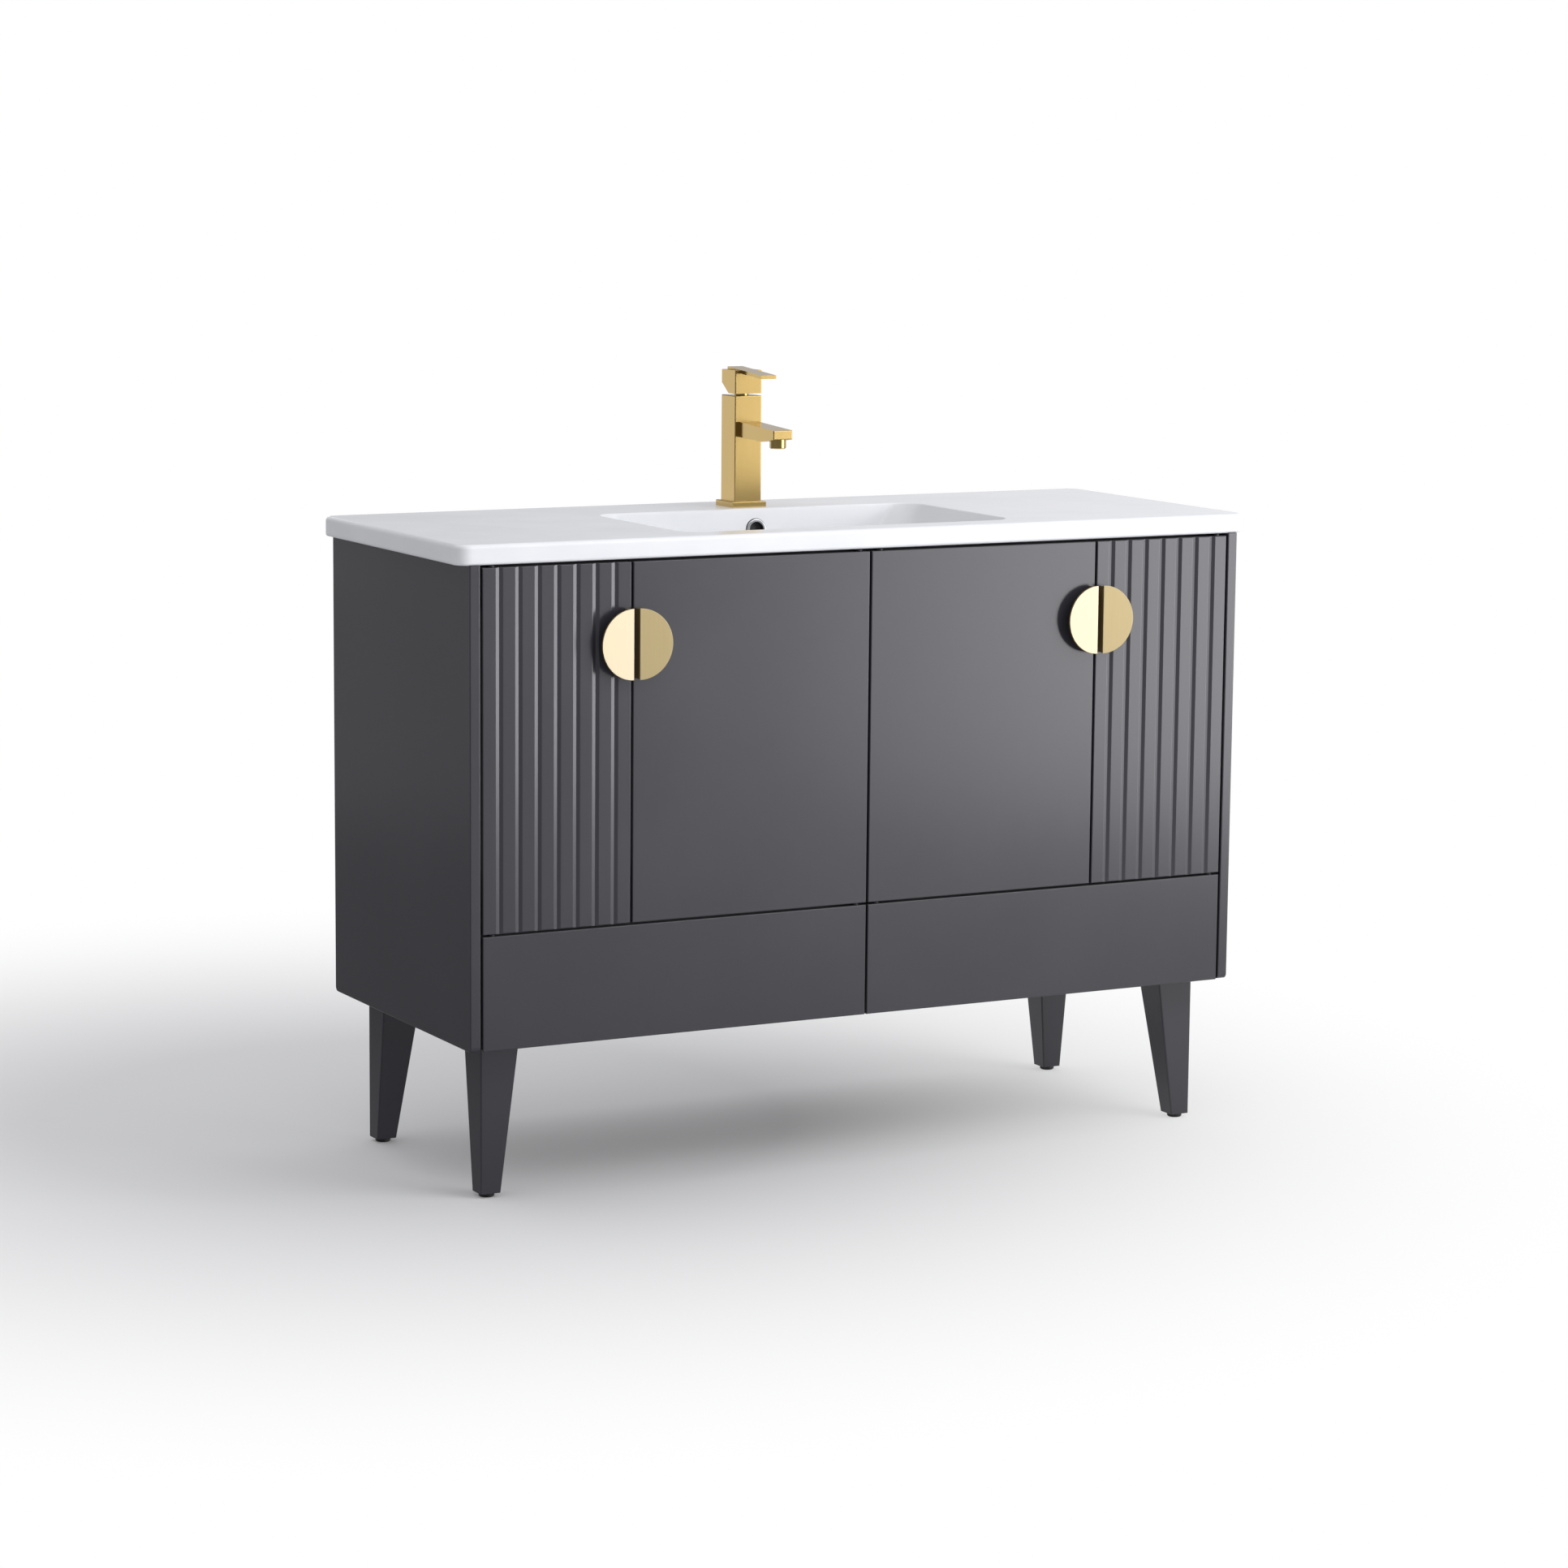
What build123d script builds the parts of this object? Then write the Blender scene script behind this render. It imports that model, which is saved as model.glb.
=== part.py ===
from build123d import *
from math import cos, hypot, radians, sin, sqrt, tan
import os

# Bathroom vanity cabinet. Millimetres, +Z up, the doors face -Y, left and right as seen from the front.
# The origin is on the floor, under the middle of the whole object.

# Cabinet
CABINET_WIDTH = 1186.0
CABINET_DEPTH = 465.0
COUNTER_HEIGHT = 878.0
CARCASS_BOTTOM = 209.0
PANEL = 15.0
PANEL_CORNER = 7.0
PANEL_EDGE = 1.5
BACK_BOARD = 9.0
FRONT_RAIL_HEIGHT = 60.0
BACK_RAIL_HEIGHT = 100.0
STILE_WIDTH = 80.0
WALL_HOLE_RADIUS = 3.5
WALL_HOLE_INSET = 128.0

# Doors and drawer fronts
FRONT_THICK = 18.0
FRONT_EDGE = 1.2
REVEAL = 3.0
TOP_REVEAL = 3.5
SEAM_HEIGHT = 362.0
FLUTED_WIDTH = 214.5
FLUTE_PITCH = 27.75
FLUTE_WIDTH = 10.8
FLUTE_SLOPE = 17.0
FLUTE_SHOULDER = 3.0
FLUTE_MOUTH = 2.0

# Door pivots: a flat plate with a pin above and below each door, and a bush let into the door's edge
PIVOT_INSET = 14.5
PIVOT_DEPTH = 6.0
PIN_RADIUS = 2.0
PIN_LENGTH = 11.0
RUNNING_FIT = 0.05
BUSH_WALL = 1.5
BUSH_LENGTH = 12.5
PIVOT_PLATE_THICK = 2.0
PIVOT_PLATE_WIDTH = 10.0
PIVOT_PLATE_GAP = 0.5
SWING_CLEARANCE = 0.8

# Magnetic catches
CATCH_LENGTH = 40.0
CATCH_HEIGHT = 14.0
CATCH_DROP = 40.0
CATCH_FROM_EDGE = 12.0
STRIKE_THICK = 1.2

# Half-moon pulls
PULL_RADIUS = 47.5
PULL_SLOT = 8.5
PULL_PROJECTION = 17.0
PULL_PLATE = 2.5
PULL_WEB = 7.0
PULL_DROP = 108.0
PULL_LEAN = 3.0
PULL_EDGE = 0.5

# Drawers and their telescopic slides
GRIP_LIP = 20.0
DRAWER_BOARD = 12.0
DRAWER_BOTTOM = 6.0
DRAWER_BOTTOM_UP = 6.0
DRAWER_TOP_GAP = 10.5
DRAWER_REAR_GAP = 38.0
DRAWER_BOX_LIFT = 8.0
SLIDE_THICK = 12.7
SLIDE_HEIGHT = 35.0
SLIDE_REAR_GAP = 40.0
SLIDE_SHEET = 1.2
SLIDE_GAP = 0.5
SLIDE_START = 1.0

# Legs and levelling feet
LEG_TOP = 58.0
LEG_FOOT = 29.0
LEG_SIDE_INSET = 33.0
LEG_FRONT_INSET = 41.0
LEG_EDGE = 2.0
LEG_PLATE_THICK = 3.0
LEG_PLATE_BORDER = 6.0
PAD_RADIUS = 10.5
PAD_HEIGHT = 6.0
PAD_EDGE = 1.5
STEM_RADIUS = 4.0
STEM_LENGTH = 30.0
STEM_CLEARANCE = 0.75
SOCKET_WALL = 2.0
SOCKET_LENGTH = 15.0

# Ceramic top with its bowl
SLAB_OVERHANG = 17.0
SLAB_THICK = 27.0
SLAB_CORNER = 20.0
SLAB_TOP_ROUND = 6.0
SLAB_LOWER_ROUND = 4.0
SLAB_SKIN = 11.0
SLAB_RIM_MARGIN = 3.0
BOWL_WIDTH = 510.0
BOWL_FROM_BACK = 125.0
BOWL_FROM_RAIL = 9.4
BOWL_CORNER = 34.0
BOWL_DEPTH = 110.0
BOWL_END_SLOPE = 88.0
BOWL_FRONT_SLOPE = 50.0
BOWL_BACK_SLOPE = 15.0
BOWL_FLOOR_ROUND = 22.0
BOWL_RIM_ROUND = 3.0
BOWL_WALL = 10.0
DRAIN_HOLE_RADIUS = 22.5
OVERFLOW_DROP = 30.0
OVERFLOW_RADIUS = 11.0
OVERFLOW_DEPTH = 7.0
OVERFLOW_RING_WIDTH = 4.0
OVERFLOW_RING_PROUD = 2.5

# Drain
DRAIN_FLANGE_BORDER = 9.5
DRAIN_FLANGE_THICK = 3.0
DRAIN_CLEARANCE = 1.0
DRAIN_BODY_WALL = 3.0
DRAIN_BODY_LENGTH = 52.0
DRAIN_NUT_WALL = 7.5
DRAIN_NUT_HEIGHT = 12.0
DRAIN_GASKET = 3.0
DRAIN_HUB_RADIUS = 9.0
DRAIN_HUB_HEIGHT = 8.0
DRAIN_HUB_DROP = 14.0
DRAIN_RIB = 4.0
TAIL_RADIUS = 16.0
TAIL_WALL = 1.5
TAIL_COLLAR = 12.0
TAIL_LENGTH = 120.0
STOPPER_INSET = 3.0
STOPPER_HEIGHT = 6.0
STOPPER_ROUND = 4.0
STOPPER_STEM_RADIUS = 5.0
STOPPER_STEM_LENGTH = 34.0

# Faucet
FAUCET_FROM_BOWL = 43.0
FAUCET_HOLE_RADIUS = 17.5
FAUCET_BASE_SIZE = 53.0
FAUCET_BASE_HEIGHT = 8.0
FAUCET_SIZE = 42.5
FAUCET_HEIGHT = 158.0
FAUCET_EDGE = 1.2
SPOUT_WIDTH = 30.0
SPOUT_REACH = 105.0
SPOUT_DROP = 35.5
SPOUT_FALL = 7.0
SPOUT_TIP_HEIGHT = 12.7
SPOUT_ROOT_HEIGHT = 21.8
SPOUT_BEND_REACH = 67.0
SPOUT_BEND_DROP = 24.9
AERATOR_RADIUS = 11.5
AERATOR_FROM_TIP = 15.0
AERATOR_HEIGHT = 6.0
AERATOR_DROP = 27.0
AERATOR_BORE = 8.0
SHANK_CLEARANCE = 1.0
SHANK_LENGTH = 65.0
SHANK_NUT_WALL = 8.5
SHANK_NUT_HEIGHT = 12.0
INLET_RADIUS = 5.0
INLET_DEPTH = 14.0
INLET_SPACING = 15.0

# Faucet handle: a neck that turns on the column and a block that tilts on the neck's cross pin
NECK_RADIUS = 10.0
NECK_GAP = 0.5
HANDLE_GAP = 3.0
HANDLE_HEIGHT = 33.0
HANDLE_CHAMFER_HEIGHT = 15.0
HANDLE_PIN_UP = 6.0
HANDLE_PIN_RADIUS = 2.0
HANDLE_PIN_INSET = 6.25
LUG_WIDTH = 10.0
LUG_DEPTH = 12.0
LUG_ABOVE_PIN = 4.0
LUG_CLEARANCE = 0.6
LEVER_WIDTH = 24.0
LEVER_THICK = 5.0
LEVER_LENGTH = 103.0
LEVER_RISE = 3.5
LEVER_FALL = 7.5

# Places worked out from the driving dimensions
FRONT = (PULL_PROJECTION - CABINET_DEPTH) / 2
BACK = FRONT + CABINET_DEPTH
HALF_WIDTH = CABINET_WIDTH / 2
INNER = HALF_WIDTH - PANEL
SLAB_BOTTOM = COUNTER_HEIGHT - SLAB_THICK
DOOR_BOTTOM = SEAM_HEIGHT + REVEAL
DOOR_TOP = SLAB_BOTTOM - TOP_REVEAL
FRONT_BACK = FRONT + FRONT_THICK
PIVOT_Y = FRONT + PIVOT_DEPTH
SWING = hypot(PIVOT_INSET, FRONT_THICK - PIVOT_DEPTH)
BOARD_FRONT = PIVOT_Y + SWING + SWING_CLEARANCE
BOARD_BACK = BOARD_FRONT + PANEL
SHELF_TOP = DOOR_BOTTOM - PIVOT_PLATE_GAP - PIVOT_PLATE_THICK
SHELF_BOTTOM = SHELF_TOP - PANEL
UPPER_PLATE = DOOR_TOP + PIVOT_PLATE_GAP
BASE_BOTTOM = CARCASS_BOTTOM + GRIP_LIP
BASE_TOP = BASE_BOTTOM + PANEL
BOARD_REAR = BACK - BACK_BOARD
RAIL_BOTTOM = SLAB_BOTTOM - FRONT_RAIL_HEIGHT
OUTER_EDGE = INNER - REVEAL
FLUTE_COUNT = int(FLUTED_WIDTH // FLUTE_PITCH)
DOOR_SEAM = OUTER_EDGE - FLUTED_WIDTH - REVEAL / 2
CENTRE_EDGE = REVEAL / 2
OUTER_PIVOT = OUTER_EDGE - PIVOT_INSET
CENTRE_PIVOT = CENTRE_EDGE + PIVOT_INSET
BUSH_RADIUS = PIN_RADIUS + RUNNING_FIT + BUSH_WALL
PULL_HEIGHT = DOOR_TOP - PULL_DROP
WALL_HOLE_X = INNER - WALL_HOLE_INSET
DRAWER_LOW = BASE_TOP + DRAWER_BOX_LIFT
DRAWER_HIGH = SHELF_BOTTOM - DRAWER_TOP_GAP
DRAWER_REAR = BOARD_REAR - DRAWER_REAR_GAP
SLIDE_FRONT = BOARD_FRONT + SLIDE_START
SLIDE_REAR = BOARD_REAR - SLIDE_REAR_GAP
SLAB_WIDTH = CABINET_WIDTH + 2 * SLAB_OVERHANG
BOWL_FRONT = BOARD_BACK + BOWL_FROM_RAIL
BOWL_BACK = BACK - BOWL_FROM_BACK
BOWL_LENGTH = BOWL_BACK - BOWL_FRONT
BOWL_FLOOR = COUNTER_HEIGHT - BOWL_DEPTH
DRAIN_Y = (BOWL_FRONT + BOWL_FRONT_SLOPE + BOWL_BACK - BOWL_BACK_SLOPE) / 2
DRAIN_FLANGE_RADIUS = DRAIN_HOLE_RADIUS + DRAIN_FLANGE_BORDER
DRAIN_BODY_RADIUS = DRAIN_HOLE_RADIUS - DRAIN_CLEARANCE
DRAIN_NUT_RADIUS = DRAIN_BODY_RADIUS + DRAIN_NUT_WALL
STOPPER_RADIUS = DRAIN_FLANGE_RADIUS - STOPPER_INSET
FAUCET_Y = BOWL_BACK + FAUCET_FROM_BOWL
FAUCET_FRONT = FAUCET_Y - FAUCET_SIZE / 2
SHANK_RADIUS = FAUCET_HOLE_RADIUS - SHANK_CLEARANCE
COLUMN_TOP = COUNTER_HEIGHT + FAUCET_HEIGHT
SPOUT_TOP = COLUMN_TOP - SPOUT_DROP
AERATOR_SEAT = SPOUT_TOP - AERATOR_DROP
HANDLE_BOTTOM = COLUMN_TOP + HANDLE_GAP
HANDLE_PIN_Z = HANDLE_BOTTOM + HANDLE_PIN_UP

SIDES = (("left", -1), ("right", 1))
ENDS = (("front", -1), ("back", 1))
STANDING = (Align.CENTER, Align.CENTER, Align.MIN)


def board(x, y, z):
    """A straight board between three pairs of faces, given in any order."""
    low = [min(pair) for pair in (x, y, z)]
    size = [abs(pair[1] - pair[0]) for pair in (x, y, z)]
    return Pos(*low) * Box(*size, align=(Align.MIN, Align.MIN, Align.MIN))


def centred(middle, width):
    """The two ends of a width about a middle."""
    return (middle - width / 2, middle + width / 2)


def rod(radius, x, y, z):
    """An upright round bar at x, y between two heights."""
    return Pos(x, y, min(z)) * Cylinder(radius, abs(z[1] - z[0]), align=STANDING)


def tube(outer, inner, x, y, z):
    """An upright tube at x, y between two heights."""
    return rod(outer, x, y, z) - rod(inner, x, y, z)


def prism_x(points, x):
    """An outline in Y and Z carried along X between two places."""
    face = Plane.YZ * make_face(Polyline(*points, close=True))
    return Pos(min(x), 0, 0) * extrude(face, abs(x[1] - x[0]))


def soft_front(panel):
    """Round the edges of a front's outer face."""
    return fillet(panel.faces().sort_by(Axis.Y)[0].edges(), FRONT_EDGE)


# Carcass boards

def side_panel(side):
    """A side panel with rounded lower corners and soft front edges."""
    panel = board((side * HALF_WIDTH, side * INNER), (FRONT, BACK), (CARCASS_BOTTOM, SLAB_BOTTOM))
    panel = fillet(panel.edges().filter_by(Axis.X).group_by(Axis.Z)[0], PANEL_CORNER)
    return fillet(panel.faces().sort_by(Axis.Y)[0].edges().filter_by(Axis.Z), PANEL_EDGE)


def pivot_places():
    """The X of each door pivot."""
    return [side * place for _, side in SIDES for place in (OUTER_PIVOT, CENTRE_PIVOT)]


def front_rail():
    """The rail behind the door tops, with a notch for each upper pivot plate."""
    rail = board((-INNER, INNER), (BOARD_FRONT, BOARD_BACK), (RAIL_BOTTOM, SLAB_BOTTOM))
    for x in pivot_places():
        rail -= board(centred(x, PIVOT_PLATE_WIDTH), (BOARD_FRONT, BOARD_BACK), (UPPER_PLATE, SLAB_BOTTOM))
    return rail


def centre_stile():
    """The upright behind the middle seam, notched over the lower pivot plates."""
    stile = board(centred(0, STILE_WIDTH), (BOARD_FRONT, BOARD_BACK), (SHELF_TOP, RAIL_BOTTOM))
    notch_top = SHELF_TOP + PIVOT_PLATE_THICK
    for _, side in SIDES:
        notch = centred(side * CENTRE_PIVOT, PIVOT_PLATE_WIDTH)
        stile -= board(notch, (BOARD_FRONT, BOARD_BACK), (SHELF_TOP, notch_top))
    return stile


def back_rail():
    """The rail that is screwed to the wall."""
    rail_bottom = SLAB_BOTTOM - BACK_RAIL_HEIGHT
    rail = board((-INNER, INNER), (BACK - PANEL, BACK), (rail_bottom, SLAB_BOTTOM))
    for _, side in SIDES:
        centre = Pos(side * WALL_HOLE_X, BACK - PANEL / 2, SLAB_BOTTOM - BACK_RAIL_HEIGHT / 2)
        rail -= centre * Rot(90, 0, 0) * Cylinder(WALL_HOLE_RADIUS, PANEL)
    return rail


def pivot_plate(x, bottom, upward):
    """One pivot plate with a round nose and its riveted pin."""
    half = PIVOT_PLATE_WIDTH / 2
    heights = (bottom, bottom + PIVOT_PLATE_THICK)
    plate = board((x - half, x + half), (PIVOT_Y, BOARD_BACK), heights)
    plate += rod(half, x, PIVOT_Y, heights)
    reach = PIVOT_PLATE_GAP + PIN_LENGTH
    pin = (heights[0], heights[1] + reach) if upward else (heights[0] - reach, heights[1])
    return plate + rod(PIN_RADIUS, x, PIVOT_Y, pin)


def pivot_plates():
    """All the pivot plates, below and above the doors."""
    lower = [pivot_plate(x, SHELF_TOP, True) for x in pivot_places()]
    upper = [pivot_plate(x, UPPER_PLATE, False) for x in pivot_places()]
    return Compound(children=lower + upper)


def catch_span(side, inward):
    """The X ends of a catch beside a door seam, on one side of it."""
    near = DOOR_SEAM - inward * CATCH_FROM_EDGE
    return (side * near, side * (near - inward * CATCH_LENGTH))


def catch_heights():
    """The lower and upper faces of the catches."""
    return (DOOR_TOP - CATCH_DROP - CATCH_HEIGHT, DOOR_TOP - CATCH_DROP)


def magnetic_catches():
    """The catches on the front rail, one behind each door's free edge."""
    depth = (FRONT_BACK + STRIKE_THICK, BOARD_FRONT)
    spans = [catch_span(side, inward) for _, side in SIDES for inward in (-1, 1)]
    return Compound(children=[board(span, depth, catch_heights()) for span in spans])


# Legs and feet

def leg_place(side, end):
    """The outer corner of a leg: X of its outer face and Y of its outer face."""
    face_y = FRONT + LEG_FRONT_INSET if end < 0 else BACK - LEG_FRONT_INSET
    return side * (HALF_WIDTH - LEG_SIDE_INSET), face_y


def leg_section(side, end, size, height):
    """A square section of a leg that keeps the two outer faces upright."""
    x, y = leg_place(side, end)
    return Pos(x - side * size / 2, y - end * size / 2, height) * Rectangle(size, size)


def foot_place(side, end):
    """The middle of a leg's lower end."""
    x, y = leg_place(side, end)
    return x - side * LEG_FOOT / 2, y - end * LEG_FOOT / 2


def leg(side, end):
    """A leg that tapers on its two inner faces, bored for the foot's stem and socket."""
    top = BASE_BOTTOM - LEG_PLATE_THICK
    lower = leg_section(side, end, LEG_FOOT, PAD_HEIGHT)
    upper = leg_section(side, end, LEG_TOP, top)
    body = loft([lower, upper])
    body = fillet(body.edges().filter_by(lambda edge: abs(edge.tangent_at(0.5).Z) > 0.5), LEG_EDGE)
    x, y = foot_place(side, end)
    socket = STEM_RADIUS + RUNNING_FIT + SOCKET_WALL
    body -= rod(socket, x, y, (PAD_HEIGHT, PAD_HEIGHT + SOCKET_LENGTH))
    bore_top = PAD_HEIGHT + STEM_LENGTH + STEM_CLEARANCE
    return body - rod(STEM_RADIUS + STEM_CLEARANCE, x, y, (PAD_HEIGHT, bore_top))


def foot_socket(side, end):
    """The threaded sleeve pressed into a leg's lower end."""
    x, y = foot_place(side, end)
    inner = STEM_RADIUS + RUNNING_FIT
    return tube(inner + SOCKET_WALL, inner, x, y, (PAD_HEIGHT, PAD_HEIGHT + SOCKET_LENGTH))


def levelling_foot(side, end):
    """A round pad on a stem."""
    x, y = foot_place(side, end)
    pad = rod(PAD_RADIUS, x, y, (0, PAD_HEIGHT))
    pad = chamfer(pad.edges().filter_by(GeomType.CIRCLE).group_by(Axis.Z)[0], PAD_EDGE)
    return pad + rod(STEM_RADIUS, x, y, (PAD_HEIGHT, PAD_HEIGHT + STEM_LENGTH))


def leg_plate(side, end):
    """The steel plate between a leg's top and the bottom panel."""
    x, y = leg_place(side, end)
    middle = (x - side * LEG_TOP / 2, y - end * LEG_TOP / 2)
    width = LEG_TOP + 2 * LEG_PLATE_BORDER
    heights = (BASE_BOTTOM - LEG_PLATE_THICK, BASE_BOTTOM)
    return board(centred(middle[0], width), centred(middle[1], width), heights)


# Doors

def door_blank(edges, pivot_x):
    """A plain door between two edges, bored for its pivot bushes."""
    blank = soft_front(board(edges, (FRONT, FRONT_BACK), (DOOR_BOTTOM, DOOR_TOP)))
    blank -= rod(BUSH_RADIUS, pivot_x, PIVOT_Y, (DOOR_BOTTOM, DOOR_BOTTOM + BUSH_LENGTH))
    return blank - rod(BUSH_RADIUS, pivot_x, PIVOT_Y, (DOOR_TOP - BUSH_LENGTH, DOOR_TOP))


def flat_door(side):
    """A plain inner door, hung at the middle seam."""
    edges = (side * CENTRE_EDGE, side * (DOOR_SEAM - REVEAL / 2))
    return door_blank(edges, side * CENTRE_PIVOT)


def flute(x):
    """The cut of one flute: two flat flanks that leave the face in soft shoulders and meet in a cleft."""
    slope = radians(FLUTE_SLOPE)
    across = FLUTE_SHOULDER * sin(slope)
    shoulder = FRONT + FLUTE_SHOULDER * (1 - cos(slope))
    cleft = (x, shoulder + (FLUTE_WIDTH / 2 - across) * tan(slope))
    near, far = centred(x, FLUTE_WIDTH)
    mouth = FRONT - FLUTE_MOUTH
    outline = TangentArc((near, FRONT), (near + across, shoulder), tangent=(1, 0))
    outline += Polyline((near + across, shoulder), cleft, (far - across, shoulder))
    outline += TangentArc((far, FRONT), (far - across, shoulder), tangent=(-1, 0))
    outline += Polyline((near, FRONT), (near, mouth), (far, mouth), (far, FRONT))
    return Pos(0, 0, DOOR_BOTTOM) * extrude(make_face(outline), DOOR_TOP - DOOR_BOTTOM, dir=(0, 0, 1))


def fluted_door(side):
    """An outer door with soft upright flutes, hung at the side panel."""
    edges = (side * OUTER_EDGE, side * (OUTER_EDGE - FLUTED_WIDTH))
    door = door_blank(edges, side * OUTER_PIVOT)
    middle = side * (OUTER_EDGE - FLUTED_WIDTH / 2)
    for index in range(FLUTE_COUNT):
        door -= flute(middle + (index - (FLUTE_COUNT - 1) / 2) * FLUTE_PITCH)
    return door


def door_fittings(pivot_x, strike):
    """A door's two pivot bushes and the strike plate of its catch."""
    inner = PIN_RADIUS + RUNNING_FIT
    lower = tube(BUSH_RADIUS, inner, pivot_x, PIVOT_Y, (DOOR_BOTTOM, DOOR_BOTTOM + BUSH_LENGTH))
    upper = tube(BUSH_RADIUS, inner, pivot_x, PIVOT_Y, (DOOR_TOP - BUSH_LENGTH, DOOR_TOP))
    plate = board(strike, (FRONT_BACK, FRONT_BACK + STRIKE_THICK), catch_heights())
    return Compound(children=[lower, upper, plate])


def pull(side, inward):
    """A half-moon pull: a half-disc on a web along its straight edge, leaning out to its round edge."""
    away = -side * inward
    edge = side * DOOR_SEAM + away * PULL_SLOT / 2
    face = FRONT - PULL_PROJECTION + PULL_RADIUS * sin(radians(PULL_LEAN))
    disc = Rot(-90, 0, 0) * Cylinder(PULL_RADIUS, PULL_PLATE, align=STANDING)
    half = board((0, away * PULL_RADIUS), (0, PULL_PLATE), (-PULL_RADIUS, PULL_RADIUS))
    plate = disc & half
    plate = fillet(plate.faces().sort_by(Axis.Y)[0].edges(), PULL_EDGE)
    plate = Pos(edge, face, PULL_HEIGHT) * Rot(0, 0, -away * PULL_LEAN) * plate
    web_half = sqrt(PULL_RADIUS**2 - PULL_WEB**2) - PULL_EDGE
    web_y = (face + PULL_PLATE / 2, FRONT)
    web = board((edge, edge + away * PULL_WEB), web_y, centred(PULL_HEIGHT, 2 * web_half))
    return plate + web


# Drawers

def drawer_span(side):
    """The outer faces of a drawer box, from the middle outwards."""
    return (side * (PANEL / 2 + SLIDE_THICK), side * (INNER - SLIDE_THICK))


def drawer_front(side):
    """A plain drawer front whose lower edge hangs below the box as a grip."""
    edges = (side * CENTRE_EDGE, side * OUTER_EDGE)
    return soft_front(board(edges, (FRONT, FRONT_BACK), (CARCASS_BOTTOM, SEAM_HEIGHT)))


def drawer_box(side):
    """The two sides and the back of a drawer."""
    near, far = drawer_span(side)
    inner_near = near + side * DRAWER_BOARD
    inner_far = far - side * DRAWER_BOARD
    depth = (FRONT_BACK, DRAWER_REAR)
    heights = (DRAWER_LOW, DRAWER_HIGH)
    walls = [board(pair, depth, heights) for pair in ((near, inner_near), (inner_far, far))]
    walls.append(board((inner_near, inner_far), (DRAWER_REAR - DRAWER_BOARD, DRAWER_REAR), heights))
    return Compound(children=walls)


def drawer_bottom(side):
    """The thin floor of a drawer."""
    near, far = drawer_span(side)
    low = DRAWER_LOW + DRAWER_BOTTOM_UP
    width = (near + side * DRAWER_BOARD, far - side * DRAWER_BOARD)
    depth = (FRONT_BACK, DRAWER_REAR - DRAWER_BOARD)
    return board(width, depth, (low, low + DRAWER_BOTTOM))


def channel(wall, outward, web, lips, height):
    """A sheet channel: a web and two lips, measured from a wall along outward."""
    middle = (DRAWER_LOW + DRAWER_HIGH) / 2
    y = (SLIDE_FRONT, SLIDE_REAR)
    part = board([wall + outward * s for s in web], y, centred(middle, height))
    for end in (-1, 1):
        edge = middle + end * height / 2
        part += board([wall + outward * s for s in lips], y, (edge, edge - end * SLIDE_SHEET))
    return part


def slide_walls(side):
    """The two walls that carry a drawer's slides, each with the direction towards the drawer."""
    return ((side * PANEL / 2, side), (side * INNER, -side))


def cabinet_slide(wall, outward):
    """The slide member fixed to the cabinet."""
    lips = (0, SLIDE_THICK - 3 * (SLIDE_SHEET + SLIDE_GAP))
    return channel(wall, outward, (0, SLIDE_SHEET), lips, SLIDE_HEIGHT)


def middle_slide(wall, outward):
    """The slide member that runs at half the drawer's travel."""
    start = SLIDE_SHEET + SLIDE_GAP
    height = SLIDE_HEIGHT - 2 * (SLIDE_SHEET + SLIDE_GAP)
    lips = (start, SLIDE_THICK - 2 * (SLIDE_SHEET + SLIDE_GAP))
    return channel(wall, outward, (start, start + SLIDE_SHEET), lips, height)


def drawer_slide(wall, outward):
    """The slide member fixed to the drawer."""
    start = 2 * (SLIDE_SHEET + SLIDE_GAP)
    height = SLIDE_HEIGHT - 4 * (SLIDE_SHEET + SLIDE_GAP)
    return channel(wall, outward, (SLIDE_THICK - SLIDE_SHEET, SLIDE_THICK), (start, SLIDE_THICK), height)


# Ceramic top

def bowl_form(grow):
    """The bowl's inside, or its outside when grown by the wall."""
    top = RectangleRounded(BOWL_WIDTH + 2 * grow, BOWL_LENGTH + 2 * grow, BOWL_CORNER + grow)
    floor_width = BOWL_WIDTH - 2 * BOWL_END_SLOPE + 2 * grow
    floor_length = BOWL_LENGTH - BOWL_FRONT_SLOPE - BOWL_BACK_SLOPE + 2 * grow
    floor = RectangleRounded(floor_width, floor_length, BOWL_CORNER + grow)
    upper = Pos(0, (BOWL_FRONT + BOWL_BACK) / 2, COUNTER_HEIGHT) * top
    lower = Pos(0, DRAIN_Y, BOWL_FLOOR - grow) * floor
    form = loft([lower, upper])
    return fillet(form.faces().sort_by(Axis.Z)[0].edges(), BOWL_FLOOR_ROUND + grow)


def overflow_plane():
    """A plane on the bowl's back wall at the overflow, facing into the bowl."""
    share = OVERFLOW_DROP / BOWL_DEPTH
    place = (0, BOWL_BACK - BOWL_BACK_SLOPE * share, COUNTER_HEIGHT - OVERFLOW_DROP)
    return Plane(place, x_dir=(1, 0, 0), z_dir=(0, -BOWL_DEPTH, BOWL_BACK_SLOPE))


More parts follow.
